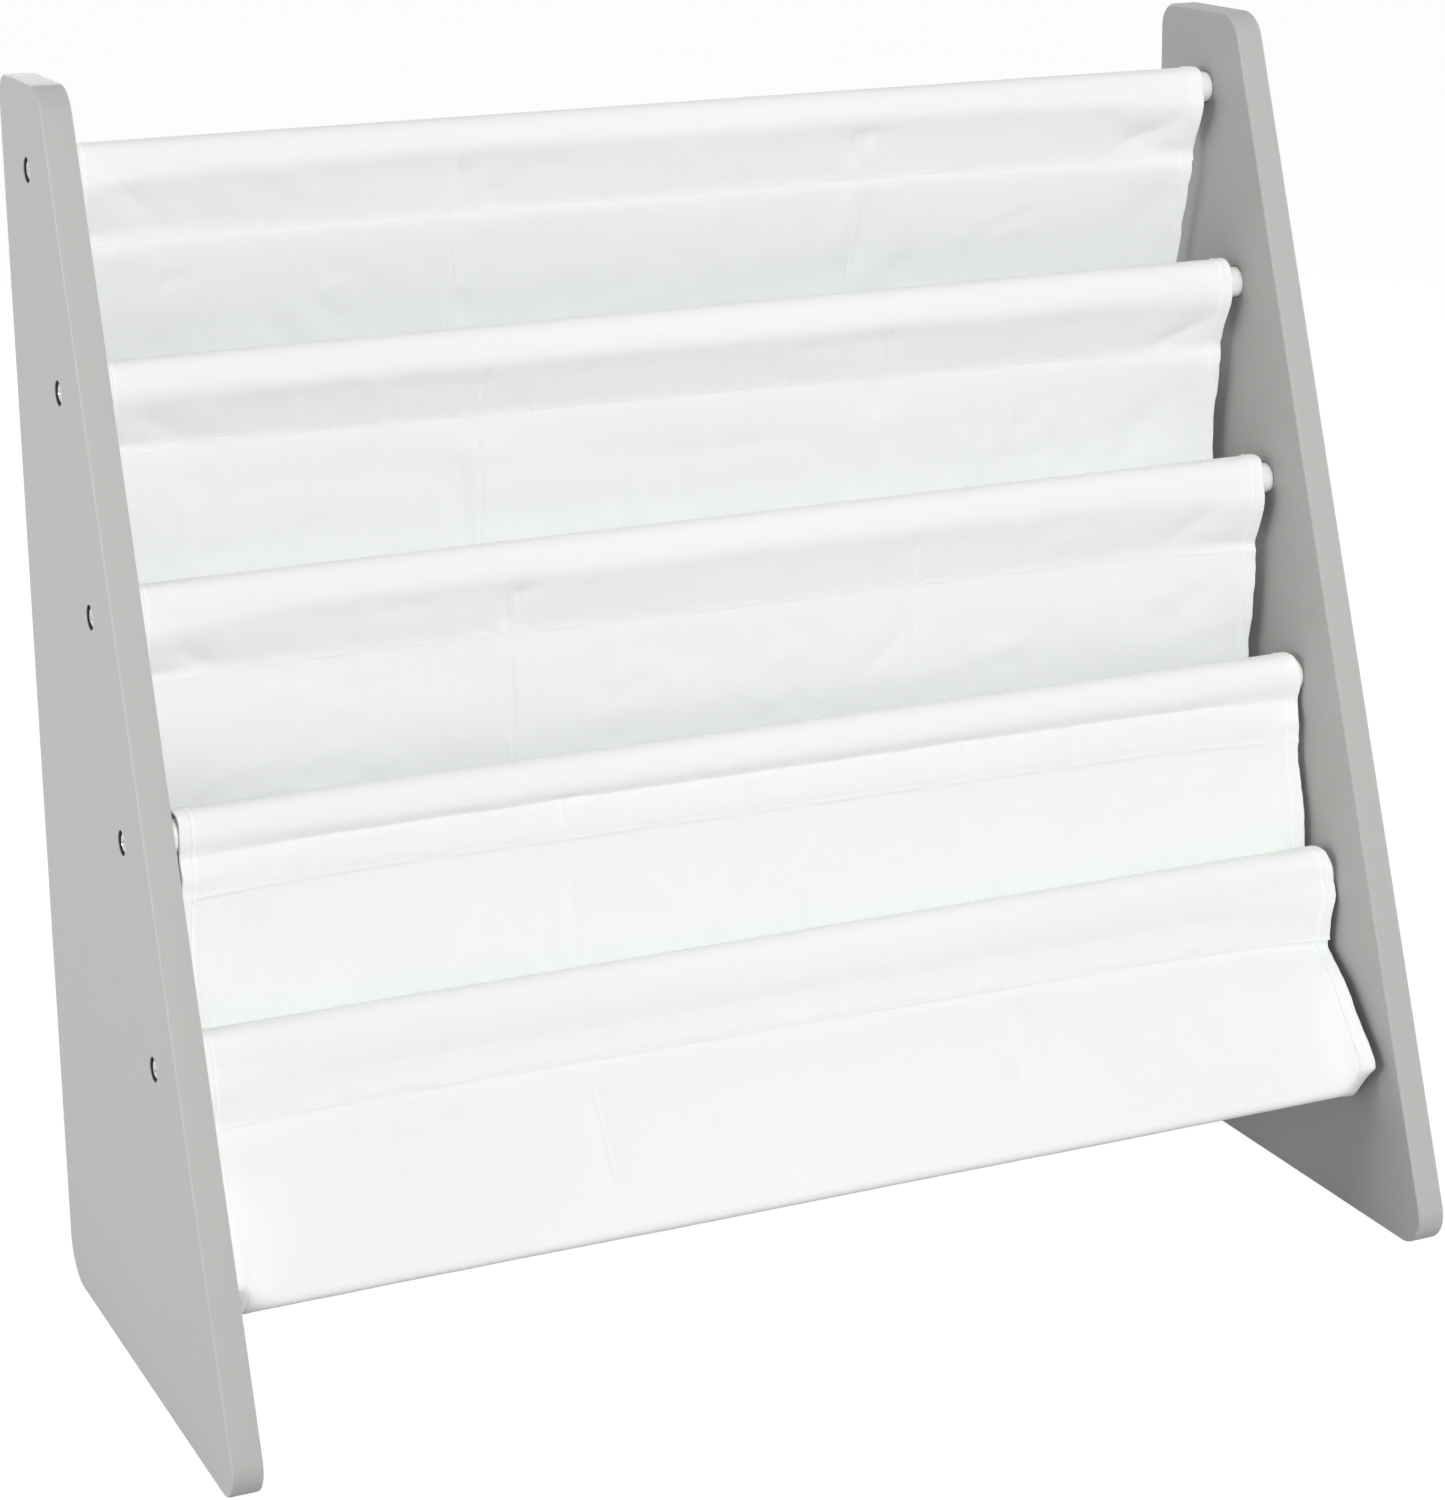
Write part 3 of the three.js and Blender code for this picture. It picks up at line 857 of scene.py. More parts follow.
def rear_of_tunnel(number, x, t):
    """A Bezier curve from the seam (t = 0) up to the rod's height behind the rod (t = 1)."""
    seam_y, seam_z = seam_place(number, x)
    drop = SEAM_DROP[number] * step_down
    behind = np.full_like(x, rod_y[number] + half_tunnel)
    corners = [
        (seam_y + LAYER_OFFSET, seam_z),
        (seam_y + LAYER_OFFSET, seam_z + drop / 3),
        (behind, np.full_like(x, rod_z[number] - drop / 2)),
        (behind, np.full_like(x, rod_z[number])),
    ]
    t = t[:, None]
    weights = [(1 - t) ** 3, 3 * t * (1 - t) ** 2, 3 * t**2 * (1 - t), t**3]
    return sum(w[..., None] * np.transpose(corner)[None] for w, corner in zip(weights, corners))


def over_the_rod(number, x, t):
    """Half a superellipse from behind the rod (t = 0) to its front (t = 1)."""
    near = nearness(x)
    power = 2 / (CREST_POWER + CREST_POWER_GAIN * near)
    high = rod_radius + CLOTH / 2 + TUNNEL_RISE[number] * (1 - CREST_FALL * near)
    back, up = np.cos(np.pi * t[:, None]), np.sin(np.pi * t[:, None])
    reach = np.where(back > 0, 1, front_corners(number, x)[0, :, 0])
    y = half_tunnel * reach * np.sign(back) * np.abs(back) ** power
    return np.stack([rod_y[number] + y, rod_z[number] + high * up**power], -1)


def front_of_tunnel(number, x, t):
    """A spline from the seam (t = 0) up to the rod's height in front of the rod (t = 1). Its
    second corner from the top lies straight under the first, so that it starts upright."""
    seam_y, seam_z = seam_place(number, x)
    forward, down = np.moveaxis(front_corners(number, x), -1, 0)
    forward = np.insert(forward, 1, forward[0], axis=0)
    down = np.insert(down, 1, CREST_START, axis=0)
    y = rod_y[number] - half_tunnel * forward
    z = rod_z[number] - (rod_z[number] - seam_z) * down
    seam = np.stack([seam_y - LAYER_OFFSET, seam_z], -1)
    return curve_through(np.concatenate([seam[None], np.stack([y, z], -1)[::-1]]), t)


def round_the_pocket(number, x, t):
    """A spline from the front of one seam (t = 0) to the rear of the next (t = 1)."""
    top_y, top_z = seam_place(number, x)
    end_y, end_z = seam_place(number + 1, x)
    shape = np.array(POCKETS[number])[:, :, None] + np.zeros_like(x)
    if number == PRESSED_TIER:
        pressed = np.array(PRESSED)[:, :, None]
        at_hem = np.exp(-(((cloth_half - np.abs(x)) / PRESSED_HEM_REACH) ** 2))
        shape[-len(PRESSED):] = pressed + (shape[-len(PRESSED):] - pressed) * at_hem
    inner_y = rod_y[number + 1] + shape[:, 0] * step_back
    inner_z = rod_z[number] - shape[:, 1] * step_down
    corners = [
        (top_y - LAYER_OFFSET, top_z - SEAM_START),
        (top_y - LAYER_OFFSET, top_z - SEAM_RUN),
        *zip(inner_y, inner_z),
        (end_y + LAYER_OFFSET, end_z - SEAM_RUN),
        (end_y + LAYER_OFFSET, end_z),
    ]
    return curve_through(np.array(corners).transpose(0, 2, 1), t)


def tier_profile(number, q, x):
    """Middle of the cloth as (Y, Z) for q = 0 at the rear of the seam, 1 behind the rod, 2 in
    front of it, 3 at the front of the seam and 4 at the rear of the next seam."""
    parts = [
        rear_of_tunnel(number, x, q[q < 1]),
        over_the_rod(number, x, q[(q >= 1) & (q < 2)] - 1),
        front_of_tunnel(number, x, 3 - q[(q >= 2) & (q <= 3)]),
    ]
    if has_pocket(number):
        parts.append(round_the_pocket(number, x, q[q > 3] - 3))
    return np.concatenate(parts)


in_the_middle = tier_profile(0, np.array([0, 1, 2, 3, 4.0]), np.zeros(1))[:, 0]
print("profile at x = 0:", in_the_middle.round(1).tolist())

# %% [markdown]
# ## Rows and columns where the cloth needs them
#
# A canvas this size is smooth over most of its area and detailed at its seams, hems and fold
# lines. A regular grid fine enough for the hems would be far too heavy, so rows and columns are
# placed by a wished spacing: the running sum of 1 / spacing is cut into equal steps.

# %% Spacing and the grid
HEM = 6.5
FOLDS = ((-112, 104), (-111, 105), (-113, 103), (-110, 106), (-114, 101))
FINE_STEP = 0.7
WIDE_STEP = 3.5
CREST_STEP = 1.6
CREST_RANGE = (0.9, 2.1)
SAMPLES = 4001
# One tunnel is pinched along a line over its seam.
PINCH_TIER = 3
PINCH_DOWN = -19.5


def placed(length_at, spacing):
    """Places from the first to the last of length_at, as far apart as spacing wishes there."""
    mean = (1 / spacing[1:] + 1 / spacing[:-1]) / 2
    count = np.concatenate([[0], np.cumsum(np.diff(length_at) * mean)])
    return np.interp(np.linspace(0, count[-1], int(count[-1]) + 2), count, length_at)


def spacing_near(places, distances, fine, flat, growth, wide=WIDE_STEP):
    """Fine spacing within flat of any of the places, growing to wide away from them."""
    nearest = np.min([np.abs(distances - place) for place in places], axis=0)
    return np.clip(fine + growth * np.maximum(nearest - flat, 0), fine, wide)


def columns_of(number):
    """Places across the cloth: finest at its edges, then at its hems and its two folds."""
    across = np.linspace(-cloth_half, cloth_half, SAMPLES)
    hem = cloth_half - HEM
    edges = spacing_near((-cloth_half, cloth_half), across, fine=0.22, flat=0.8, growth=0.25)
    hems = spacing_near((-hem, hem), across, fine=0.5, flat=1.6, growth=0.3)
    folds = spacing_near(FOLDS[number], across, fine=0.7, flat=3.5, growth=0.2)
    return placed(across, np.min([edges, hems, folds], axis=0))


def rows_of(number):
    """Values of q for the rows, and how far each lies down the cloth from the front seam."""
    q = np.linspace(0, 4 if has_pocket(number) else 3, SAMPLES)
    line = tier_profile(number, q, np.zeros(1))[:, 0]
    length = np.concatenate([[0], np.cumsum(np.linalg.norm(np.diff(line, axis=0), axis=1))])
    seam = np.interp(3, q, length)
    places = [0, seam, length[-1]]
    if number == PINCH_TIER:
        places.append(seam + PINCH_DOWN)
    wide = 0.9 * WIDE_STEP
    spacing = spacing_near(places, length, fine=FINE_STEP, flat=3, growth=0.14, wide=wide)
    if number == PRESSED_TIER:
        bottom = spacing_near((seam + PRESSED_FOLD,), length, fine=1.3, flat=3, growth=0.25)
        spacing = np.minimum(spacing, bottom)
    crest = (q > CREST_RANGE[0]) & (q < CREST_RANGE[1])
    spacing = np.where(crest, np.minimum(spacing, CREST_STEP), spacing)
    rows = placed(length, spacing)
    return np.interp(rows, length, q), rows - seam, length[-1]


for number in range(RODS):
    q, down, length = rows_of(number)
    size = f"{len(q)} rows, {len(columns_of(number))} columns"
    print(f"tier {number + 1}: {size}, {length:.0f} mm long")

# %% [markdown]
# ## Folds, creases and puckers
#
# New canvas that was folded in a box keeps two upright fold lines. It puckers where a seam
# holds it, waves a little at its hems, and shows short creases where it is pulled. The pressed
# bottom of the lowest pocket is taut and nearly smooth. Each of these is a height over the
# smooth cloth, in millimetres, as a function of x across and of the distance down from the
# seam. Soft waves are sums of cosines with seeded directions, and a crease is a ridge or valley
# along a short straight line.

# %% Waves and creases
CREASE_FADE = (-0.1, 0.35)
CREASE_ROUND = 0.2


def waves(number, kind, x, down):
    """A sum of cosines of many wavelengths and directions, about -1 to 1. A kind of waves is
    its share of the seed, its shortest and longest wave in mm, and how many it has."""
    seed, shortest, longest, count = kind
    draw = np.random.default_rng(100 * number + seed)
    length = shortest * (longest / shortest) ** draw.random(count)
    angle = draw.uniform(-np.pi / 2, np.pi / 2, count)
    phase = draw.uniform(0, 2 * np.pi, count)
    total = np.zeros(np.broadcast(x, down).shape)
    for long, way, shift in zip(length, angle, phase):
        total += np.cos(2 * np.pi * (x * np.cos(way) + down * np.sin(way)) / long + shift)
    return total / math.sqrt(count)


def smooth_step(value, low, high):
    """0 up to low and 1 from high on, with a smooth rise 3 s^2 - 2 s^3 between them."""
    share = np.clip((value - low) / (high - low), 0, 1)
    return share**2 * (3 - 2 * share)


def crease(x, down, x0, d0, x1, d1, width, height):
    """A ridge (height > 0) or valley from (x0, d0) to (x1, d1), which fades at both ends."""
    length = math.hypot(x1 - x0, d1 - d0)
    ux, ud = (x1 - x0) / length, (d1 - d0) / length
    along = ((x - x0) * ux + (down - d0) * ud) / length
    across = (down - d0) * ux - (x - x0) * ud
    fade = smooth_step(along, *CREASE_FADE) * smooth_step(1 - along, *CREASE_FADE)
    return height * fade * np.exp(CREASE_ROUND - np.hypot(across / width, CREASE_ROUND))


# The creases of each tier, read from the photograph: from (x, down) to (x, down), and
# then width and height, in mm.
CREASES = (
    (
        (294, -26, 252, -8, 3.5, -1.8), (277, -20, 266, -6, 3.5, -1.35),
        (110, -40, 109, -18, 3.5, -1.65), (-91, -14, -91, 0, 3.5, -1.2),
        (-53, -36, -53, -28, 3.5, -1.05), (-282, -34, -262, -14, 4, -1.35),
        (290, 10, 262, 52, 10, -1.5), (-251, 18, -249, 26, 3.5, -1.2),
        (-104, 42, -103, 58, 3.5, -1.2), (100, 5, 98, 48, 5, 1.2), (111, 5, 109, 50, 4, -1.35),
        (150, 34, 96, 90, 6, -1.05),
    ),
    (
        (-119, -34, -90, -34, 3.5, -1.35), (-30, -33, -22, -26, 3.5, -1.05),
        (104, -33, 104, -21, 3.5, -1.2), (-176, -34, -167, -17, 3.5, 1.05),
        (-286, -24, -262, -8, 6, -1.5), (295, -22, 258, -4, 4, -1.95),
        (-300, 22, 200, 33, 5, -0.68), (-122, 20, -121, 70, 4, -1.35), (-6, 22, -4, 62, 3.5, -1.35),
        (90, 35, 90, 66, 3.5, -1.2), (72, 30, 72, 48, 3.5, -1.05), (100, 0, 100, 20, 3.5, -1.2),
        (289, 12, 242, 55, 12, -1.5),
    ),
    (
        (-172, -34, -160, -24, 3.5, -1.2), (-281, -20, -264, -5, 3.5, -1.8),
        (-118, -24, -116, -2, 3.5, -1.2), (-110, -32, -106, -20, 3.5, -1.2),
        (286, -34, 244, -6, 4, -1.35), (-116, 10, -115, 55, 3.5, -1.2), (97, 0, 98, 60, 3.5, -1.35),
        (98, 23, 69, 47, 3.5, -1.2), (275, 18, 238, 48, 10, -1.4),
    ),
    (
        (-112, -33, -100, -18, 4, -1.5), (-108, 8, -107, 60, 3.5, -1.2), (-98, 5, -24, 60, 6, 1.2),
        (102, 8, 102, 60, 3.5, -1.2), (116, 324, 114, 285, 5, -1.8), (150, 318, 190, 262, 8, 0.7),
    ),
    (
        (0, -26, 6, -2, 3.5, -1.05),
    ),
)

print("creases placed by eye:", [len(creases) for creases in CREASES])

# %% Heights on the cloth
# Kinds of waves: the seed's share, the shortest and the longest in mm, and how many.
BROAD_WAVES = (1, 90, 260, 14)
SHORT_WAVES = (2, 28, 70, 14)
GATHERS = (3, 9, 30, 18)
GATHER_STRENGTH = (4, 60, 150, 6)
SEAM_STRENGTH = (7, 12, 60, 14)
HEM_RIPPLES = (8, 14, 60, 16)
PATCHES = (9, 50, 160, 14)
CRUMPLES = (10, 11, 30, 18)
FOLD_DRIFTS = ((5, 30, 200, 7), (6, 30, 200, 7))
# Heights in mm. Where there are two, the first is for a tunnel and the second for a pocket.
BROAD_HEIGHT = (0.35, 0.55)
SHORT_HEIGHT = 0.2
CRUMPLE_HEIGHT = 0.26
GATHER_HEIGHT = (0.4, 0.3)
RIPPLE_HEIGHT = 0.4
PINCH_DEPTH = 0.65
FOLD_DEPTH = 0.7
FOLD_DRIFT = 1.9
FOLD_VALLEY = -1.4
HEM_RIDGE = 0.26
HEM_DIP = 0.55
SEAM_RIDGE = (0.2, 0.2, 0.2, 0.45, 0.45)
# How far these reach, in mm.
GATHER_REACH = 11
RIPPLE_REACH = 13
PINCH_WIDTH = 1.8
FOLD_WIDTH = 0.9
FOLD_REACH = 5
HEM_WIDTH = 0.6
HEM_DIP_REACH = 3.5
SEAM_WIDTH = 0.8
# Ripples are waves read at this x on either side, so that the two hems differ.
RIPPLE_SIDE = 500
# Level and swing of a strength that changes along the cloth.
GATHER_LEVEL = (0.6, 0.4)
SEAM_LEVEL = (0.7, 0.5)
PATCH_LEVEL = 0.3
PATCH_MOST = 1.2
# How taut the pressed bottom is in each tier.
TAUT = (0, 0, 0, 0.85, 0)
# The two ends of the smooth steps in which heights come and go, in mm of distance or down.
FREE_OF_SEAM = (0, 26)
FREE_OF_END = (2, 30)
GATHER_START = (0.4, 5)
FOLD_START = (0, 8)
VALLEY_TOP = (-34, -18)
VALLEY_FOOT = (4, 14)
TAUT_TOP = (150, 200)
TAUT_FOOT = (255, 285)
HEM_DIP_START = (HEM, HEM + 1.5)
# The crest is at q = 1.5, and these steps are distances in q from it. On it no height is under
# LOWEST, so that the cloth stays on its rod, and away from it this limit drops by LOW_DROP.
CREST = 1.5
OFF_CREST = (0.2, 1.2)
LOW_START = (0.75, 1.1)
LOWEST = -0.3
LOW_DROP = 6


def fold_lines(number, x, down, free):
    """A groove that drifts a little, in a wider ridge that is a valley on the tunnel's front."""
    total = np.zeros_like(x)
    valley = FOLD_VALLEY * smooth_step(-down, *VALLEY_FOOT) * smooth_step(down, *VALLEY_TOP)
    pull = np.where(down < 0, valley, 1.0) * smooth_step(np.abs(down), *FOLD_START)
    for at, kind in zip(FOLDS[number], FOLD_DRIFTS):
        away = x - at - FOLD_DRIFT * waves(number, kind, 0, down)
        total += np.exp(-np.abs(away) / FOLD_REACH) * pull
        total -= FOLD_DEPTH * np.exp(-((away / FOLD_WIDTH) ** 2))
    return total * free


def heights(number, x, down, q, to_end):
    """The sum of all heights over the smooth cloth of a tier, held up where it lies on its rod:
    waves and fold lines where the cloth is free, then gathers, creases, hems and the seam."""
    in_tunnel = down < 0
    from_seam = np.abs(down)
    edge = cloth_half - np.abs(x)
    off_crest = smooth_step(np.abs(q - CREST), *OFF_CREST)
    taut = TAUT[number] * smooth_step(down, *TAUT_TOP) * (1 - smooth_step(down, *TAUT_FOOT))
    free = smooth_step(from_seam, *FREE_OF_SEAM) * smooth_step(to_end, *FREE_OF_END)
    free = free * off_crest * (1 - taut)
    patches = np.clip(PATCH_LEVEL + waves(number, PATCHES, x, down), 0, PATCH_MOST)
    height = np.where(in_tunnel, *BROAD_HEIGHT) * waves(number, BROAD_WAVES, x, down)
    height += SHORT_HEIGHT * waves(number, SHORT_WAVES, x, down)
    height += CRUMPLE_HEIGHT * patches * waves(number, CRUMPLES, x, down)
    ripples = waves(number, HEM_RIPPLES, np.sign(x) * RIPPLE_SIDE, down)
    height += RIPPLE_HEIGHT * ripples * np.exp(-edge / RIPPLE_REACH)
    height = height * free + fold_lines(number, x, down, free)

    level, swing = GATHER_LEVEL
    gathered = np.exp(-from_seam / GATHER_REACH) * smooth_step(from_seam, *GATHER_START)
    gathered *= level + swing * waves(number, GATHER_STRENGTH, x, 0)
    height += np.where(in_tunnel, *GATHER_HEIGHT) * gathered * waves(number, GATHERS, x, 0)
    for numbers in CREASES[number]:
        height += crease(x, down, *numbers)
    if number == PINCH_TIER:
        height -= PINCH_DEPTH * np.exp(-np.abs(down - PINCH_DOWN) / PINCH_WIDTH)
    height += HEM_RIDGE * np.exp(-(((edge - HEM) / HEM_WIDTH) ** 2))
    beside = smooth_step(edge, *HEM_DIP_START) * np.exp(-(edge - HEM) / HEM_DIP_REACH)
    height -= HEM_DIP * beside * off_crest
    level, swing = SEAM_LEVEL
    broken = level + swing * waves(number, SEAM_STRENGTH, x, 0)
    height += SEAM_RIDGE[number] * broken * np.exp(-((down / SEAM_WIDTH) ** 2))
    lowest = LOWEST - LOW_DROP * smooth_step(np.abs(q - CREST), *LOW_START)
    return np.maximum(height, lowest)


print("heights: waves, fold lines, gathers, creases, hems and seams")

# %% [markdown]
# ## Canvas
#
# The cloth is a white plain weave. Warp and weft pass over and under each other, so the higher
# of two rows of round yarns shows, and which is higher changes like a chessboard. The pattern
# follows the cloth's own map, in metres, so that it runs with the cloth round every fold. Its
# colour is a little paler on the yarns' crowns and darker between them, which is painted shade
# in the weave's hollows. Yarns vary in thickness along their length, which is a noise stretched
# along each of them. The hems have two more layers that let no light through, so they are a
# little whiter.

# %% Canvas material
YARN = 0.00062
YARN_LEVEL = 0.65
SLUB_SCALE = 900
SLUB_LENGTH = 20
MOTTLE_SCALE = 14
HEM_BLEND = 0.0006
WEAVE_RELIEF = 0.00009
CANVAS_LIGHT = (0.93, 0.948, 0.928, 1)
CANVAS_SHADE = (0.885, 0.906, 0.884, 1)


def canvas_finish():
    """Height = the higher of |sin| over warp and weft, each raised where it passes on top."""
    finish = new_finish("canvas_white")
    cloth_map = finish.node("UVMap", {"uv_map": "cloth"}, {})
    split = finish.node("SeparateXYZ", {}, {0: cloth_map}, "X")
    warp = (split * (math.pi / YARN)).sine()
    weft = (split.other("Y") * (math.pi / YARN)).sine()
    over = (warp * weft * 3).held(-1, 1) * (1 - YARN_LEVEL)
    woven = (abs(warp) * (over + YARN_LEVEL)).larger(abs(weft) * (YARN_LEVEL - over))
    slub_up = finish.speckle(cloth_map, SLUB_SCALE, 1, (1, 1 / SLUB_LENGTH, 1))
    slub_across = finish.speckle(cloth_map, SLUB_SCALE, 1, (1 / SLUB_LENGTH, 1, 1))
    slubs = slub_up * 0.5 + slub_across * 0.5
    cloud = finish.speckle(cloth_map, MOTTLE_SCALE, 2)
    from_edge = cloth_half / MM - abs(split)
    doubled = ((HEM / MM - from_edge) / HEM_BLEND + 0.5).held()
    # The weave's height in this colour is painted shade: paler on the yarns' crowns, darker between
    # them.
    paler = (woven * 0.3 + slubs * 0.35 + cloud * 0.2 + doubled * 0.3 + 0.08).held()
    finish.surface(
        Base_Color=finish.tint(paler, CANVAS_SHADE, CANVAS_LIGHT),
        Roughness=(0.98 - woven * 0.12).held(),
        Normal=finish.bump(woven * 0.6 + slubs * 0.7, WEAVE_RELIEF),
        Specular_IOR_Level=0.25,
        Sheen_Weight=0.12,
        Sheen_Roughness=0.5,
    )
    return finish


canvas = canvas_finish()
print("canvas: one yarn every", YARN * MM, "mm")

# %% [markdown]
# ## The five lengths of the sling
#
# One mesh for the whole sling would need too many faces, so it is made in five lengths that
# meet behind the seams, where the next tunnel starts. Each is the smooth profile with its
# heights added along the surface's normal, and then given its two sides. A side hem is the
# cloth turned back on itself, so it is thicker there, mostly towards the back, and has a small
# ridge where it ends.

# %% Five lengths of cloth
HEM_EXTRA = 0.9
HEM_FRONT_SHARE = 0.35
EDGE_ROUND = 0.9
EDGE_LEAST = 0.02
CLOTH_SHARP = 70
# Small wobbles of the side edges: height in mm, and the kind of waves.
WOBBLES = ((0.4, (9, 18, 90, 12)), (0.14, (10, 7, 16, 12)))
WOBBLE_REACH = 9
WOBBLE_START = (0, 10)
# They are read at this x on either side, so that the two edges differ.
WOBBLE_SIDE = 300
# Where the sling's two side edges are in X: (down from the seam, left, right) for each tier.
SIDE_EDGES = (
    ((-90, -304.5, 301.5), (-40, -304.5, 300), (0, -304.5, 300.5), (300, -304.2, 301)),
    ((-90, -304.2, 301), (-40, -304.5, 300.2), (0, -304.5, 300.5), (300, -304, 301)),
    ((-90, -304, 301), (-40, -304.3, 300.5), (0, -304.5, 301), (300, -304, 302)),
    (
        (-105, -304, 302), (-72, -303.5, 301.5), (-54, -299.5, 301), (-36, -297, 304),
        (-24, -297, 305.6), (-12, -297.5, 303.8), (0, -299, 303.5), (40, -302.5, 303.8),
        (110, -304.5, 303), (200, -305.8, 302), (260, -305.8, 301.8), (330, -304, 303),
    ),
    (
        (-105, -304, 303), (-54, -303, 300.5), (-36, -303, 304), (-24, -303, 305.6),
        (-10, -303.3, 304), (0, -303.6, 303.5),
    ),
)


def unit(vectors):
    return vectors / np.linalg.norm(vectors, axis=-1, keepdims=True)


def surface_normals(points):
    """Across the rows and columns of a grid, on the front or outer side of the cloth."""
    return unit(np.cross(np.gradient(points, axis=0), np.gradient(points, axis=1)))


def tier(number):
    """The front and back points of a length of the sling, half a thickness along the normals
    from its middle, whose columns are spread between its two wandering side edges."""
    x = columns_of(number)
    q, down, length = rows_of(number)
    profile = tier_profile(number, q, x)
    across = np.broadcast_to(x[None, :, None], (*profile.shape[:2], 1))
    middle = np.concatenate([across, profile], -1)
    down_grid, x_grid = np.meshgrid(down, x, indexing="ij")
    to_end = np.minimum(down_grid - down[0], down[-1] - down_grid)
    height = heights(number, x_grid, down_grid, q[:, None], to_end)
    middle = middle + surface_normals(middle) * height[..., None]
    edge = cloth_half - np.abs(x_grid)
    side = np.sign(x_grid) * WOBBLE_SIDE
    wobble = sum(size * waves(number, kind, side, down_grid) for size, kind in WOBBLES)
    at, left_edge, right_edge = np.array(SIDE_EDGES[number]).T
    left_x = np.interp(down, at, left_edge)[:, None]
    right_x = np.interp(down, at, right_edge)[:, None]
    share = (x + cloth_half) / (2 * cloth_half)
    middle[..., 0] = left_x * (1 - share) + right_x * share
    middle[..., 0] += wobble * np.exp(-edge / WOBBLE_REACH) * smooth_step(to_end, *WOBBLE_START)
    normals = surface_normals(middle)
    turned_back = HEM_EXTRA * (1 - smooth_step(edge, HEM - 0.5, HEM + 0.5))
    inset = 1 - np.minimum(edge / EDGE_ROUND, 1)
    rounded = np.sqrt(np.clip(1 - inset**2, EDGE_LEAST, 1))
    front = (CLOTH / 2 + HEM_FRONT_SHARE * turned_back) * rounded
    back = (CLOTH / 2 + (1 - HEM_FRONT_SHARE) * turned_back) * rounded
    return {
        "x": x,
        "down": down,
        "length": length,
        "normals": normals,
        "front": middle + normals * front[..., None],
        "back": middle - normals * back[..., None],
    }


def sheet_piece(number, cloth):
    """Two sides and a rim all round, with the cloth's own map in metres."""
    rows, columns = cloth["front"].shape[:2]
    count = rows * columns
    front = grid_faces(rows, columns)
    index = np.arange(count).reshape(rows, columns)
    loop = np.concatenate([index[0], index[1:, -1], index[-1, -2::-1], index[-2:0:-1, 0]])
    following = np.roll(loop, -1)
    rim = np.stack([loop, loop + count, following + count, following], -1)
    points = np.concatenate([cloth["front"].reshape(-1, 3), cloth["back"].reshape(-1, 3)])
    faces = [front[:, ::-1], front + count, rim[:, ::-1]]
    stands_for = [f"rod_tunnel_{number + 1}"]
    if has_pocket(number):
        stands_for.append(f"pocket_{number + 1}")
    name = f"tier_{number + 1}"
    piece = new_piece(
        name, points, faces, canvas, "canvas", stands_for, weld=False, sharp=CLOTH_SHARP
    )
    v, u = np.meshgrid(cloth["down"], cloth["x"], indexing="ij")
    flat = np.stack([u, v], -1).reshape(-1, 2) / MM
    add_map(piece.data, "cloth", np.tile(flat, (2, 1)))
    return piece


cloths = [tier(number) for number in range(RODS)]
tiers = [sheet_piece(number, cloth) for number, cloth in enumerate(cloths)]
for piece in tiers:
    print(piece.name, "has", 2 * len(piece.data.polygons), "triangles")

# %% [markdown]
# ## Thread
#
# The sling is sewn with thick white thread: along the seams at both ends of each tunnel, and
# along both hems. A stitch is a short thread that comes up through the cloth, lies on it and goes
# down again, so it is a little tube whose middle stands above the surface. Thousands of them
# are made at once, as one array of stitches, rings and points round a ring.

# %% Thread material
FIBRE_SCALE = 5200
FIBRE_RELIEF = 0.00005

thread = new_finish("thread_white")
fibre = thread.speckle(thread.place(), FIBRE_SCALE, 2)
thread.surface(
    Base_Color=thread.tint(fibre, (0.84, 0.865, 0.842, 1), (0.93, 0.95, 0.93, 1)),
    Roughness=0.75 + fibre * 0.15,
    Normal=thread.bump(fibre, FIBRE_RELIEF),
)
print("thread:", thread.owner.name)

# %% Stitches
STITCH_PITCH = 3.0
STITCH_LENGTH = 2.5
THREAD_RADIUS = 0.2
# How far a stitch's middle line is sunk at its ends, and how far it rises from there to its
# middle, in radii of the thread.
STITCH_SUNK = 0.6
STITCH_RISE = 0.95
STITCH_POWER = 0.6
STITCH_SHARP = 60
SEAM_OFFSET = 1.7
HEM_OFFSET = 0.5
HAND_JITTER = 0.12
END_MARGIN = 2
RINGS = 5
RING_POINTS = 6
# The last place on a grid that still has a row or column after it.
JUST_INSIDE = 1.001


def tubes(centres, up, radius):
    """Closed tubes along rows of centres (tube, ring, 3): each ring is a circle square to its
    thread. Returns points and faces."""
    count, rings = centres.shape[:2]
    along = unit(np.gradient(centres, axis=1))
    side = unit(np.cross(along, up))
    rise = np.cross(side, along)
    angle = np.linspace(0, 2 * np.pi, RING_POINTS, endpoint=False)
    points = centres[:, :, None] + radius * (
        np.cos(angle)[:, None] * side[:, :, None] + np.sin(angle)[:, None] * rise[:, :, None]
    )
    starts = np.arange(count)[:, None, None] * rings * RING_POINTS
    walls = (grid_faces(rings, RING_POINTS, around=True)[None] + starts).reshape(-1, 4)
    cap = np.arange(RING_POINTS)
    first_caps = starts[:, 0] + cap[::-1]
    last_caps = starts[:, 0] + (rings - 1) * RING_POINTS + cap
    return points.reshape(-1, 3), [walls, first_caps, last_caps]


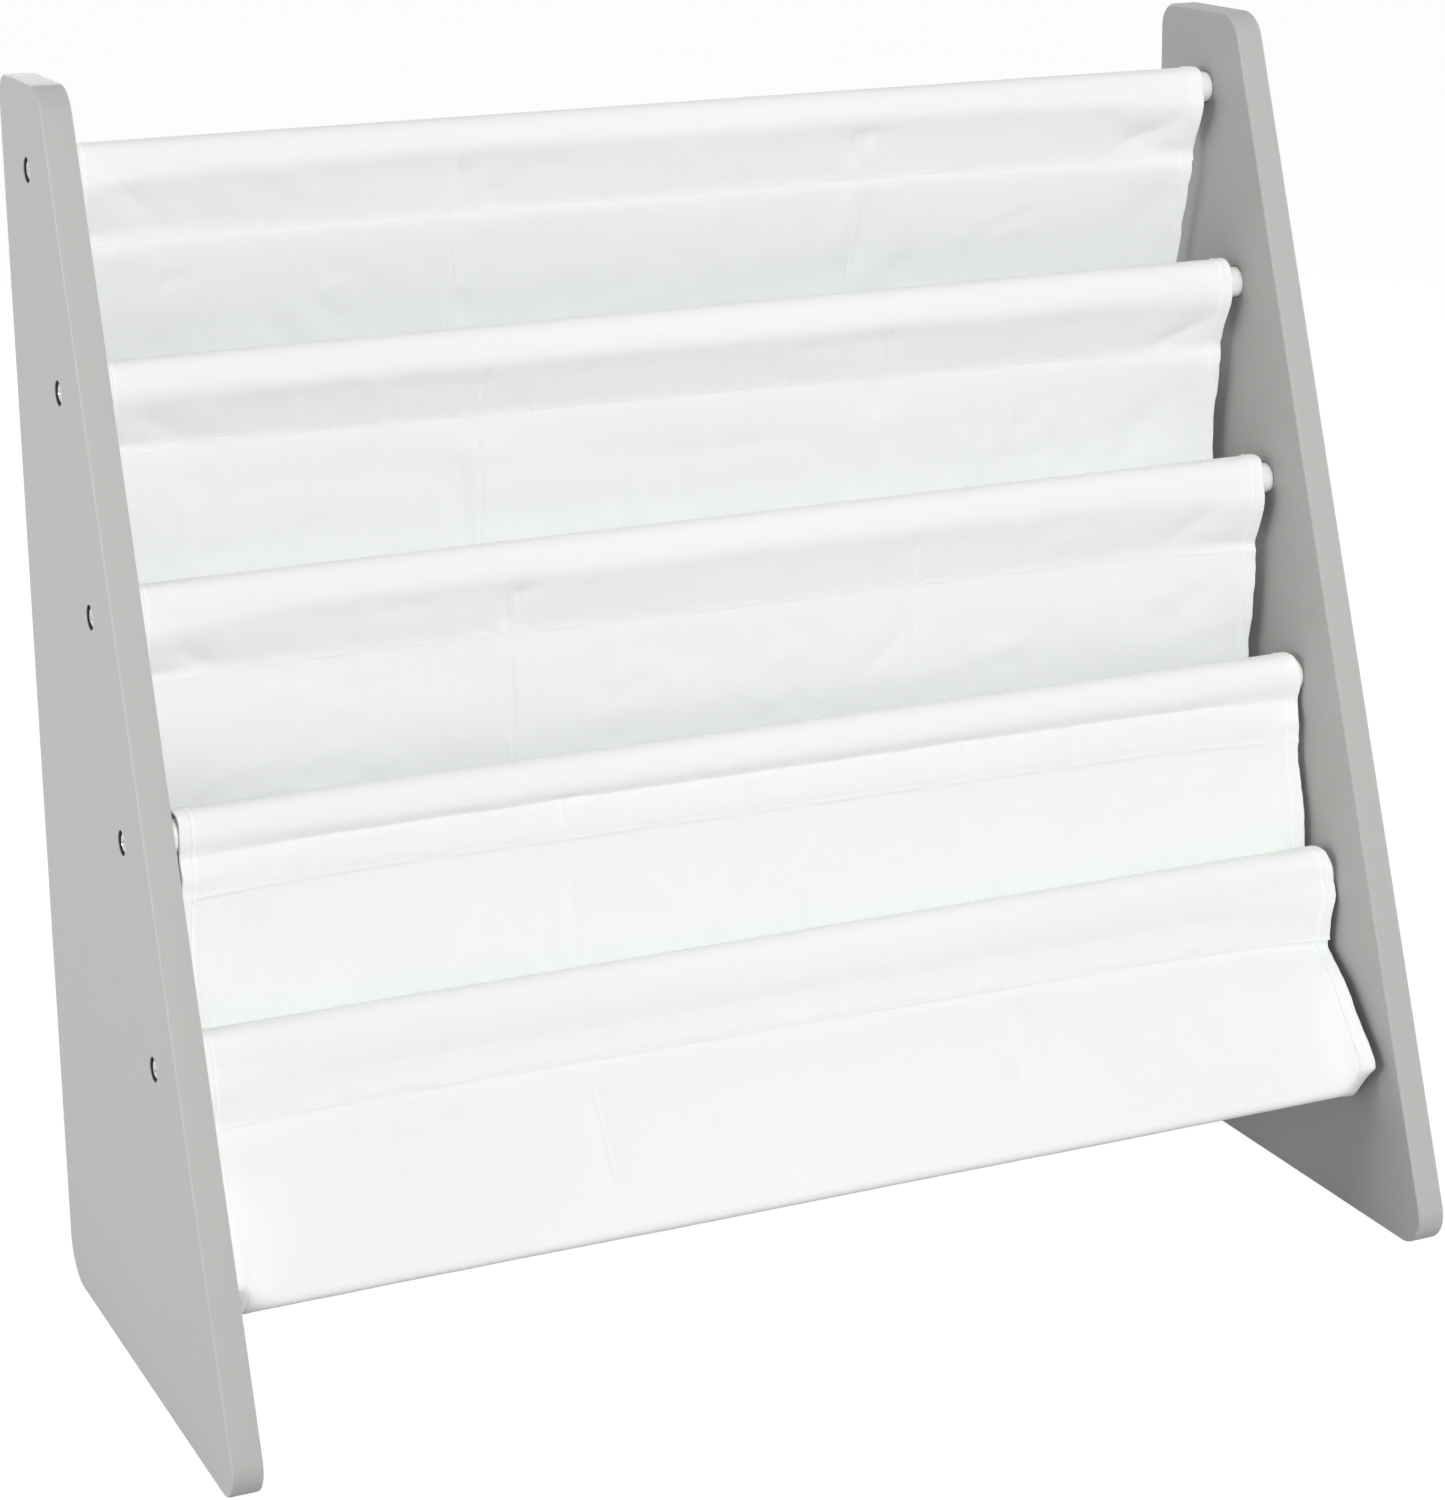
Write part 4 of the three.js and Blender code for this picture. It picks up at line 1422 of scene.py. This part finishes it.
def on_grid(grid, row, column):
    """Points of a grid at fractional rows and columns, by weighing the four round each."""
    row = np.clip(row, 0, grid.shape[0] - JUST_INSIDE)
    column = np.clip(column, 0, grid.shape[1] - JUST_INSIDE)
    r, c = row.astype(int), column.astype(int)
    fr, fc = (row - r)[..., None], (column - c)[..., None]
    upper = grid[r, c] * (1 - fc) + grid[r, c + 1] * fc
    lower = grid[r + 1, c] * (1 - fc) + grid[r + 1, c + 1] * fc
    return upper * (1 - fr) + lower * fr


def stitch_line(cloth, down, x, face):
    """Stitches at places (down, x), arrays of (stitch, ring), on the front or back face. Each
    bows outwards by a power of half a sine wave."""
    row = np.interp(down, cloth["down"], np.arange(len(cloth["down"])))
    column = np.interp(x, cloth["x"], np.arange(len(cloth["x"])))
    way = 1 if face == "front" else -1
    up = way * unit(on_grid(cloth["normals"], row, column))
    bow = np.sin(np.linspace(0, np.pi, RINGS)) ** STITCH_POWER
    lift = (STITCH_RISE * bow - STITCH_SUNK) * THREAD_RADIUS
    return on_grid(cloth[face], row, column) + up * lift[:, None], up


def seam_and_hem_thread(number):
    """Rows of stitches at both ends of a tunnel, and down both hems on both of their sides."""
    cloth = cloths[number]
    top, bottom = cloth["down"][0], cloth["down"][-1]
    ring = np.linspace(-0.5, 0.5, RINGS) * STITCH_LENGTH
    starts = np.arange(STITCH_PITCH - cloth_half, cloth_half - STITCH_PITCH, STITCH_PITCH)
    jitter = np.random.default_rng(number).normal(0, HAND_JITTER, len(starts))
    x = starts[:, None] + ring
    lines = []
    for level in (-SEAM_OFFSET, top + SEAM_OFFSET):
        down = np.repeat(level + jitter[:, None], RINGS, 1)
        lines.append(stitch_line(cloth, down, x, "front"))
    down = np.arange(top + END_MARGIN, bottom - END_MARGIN, STITCH_PITCH)[:, None] + ring
    for side in (-1, 1):
        for face in ("front", "back"):
            at = np.full_like(down, side * (cloth_half - HEM + HEM_OFFSET))
            lines.append(stitch_line(cloth, down, at, face))
    centres, ups = (np.concatenate(arrays) for arrays in zip(*lines))
    name = f"stitches_{number + 1}"
    points, faces = tubes(centres, ups, THREAD_RADIUS)
    piece = new_piece(name, points, faces, thread, "canvas", [], weld=False, sharp=STITCH_SHARP)
    print(name, "has", len(centres), "stitches")
    return piece


threads = [seam_and_hem_thread(number) for number in range(RODS)]
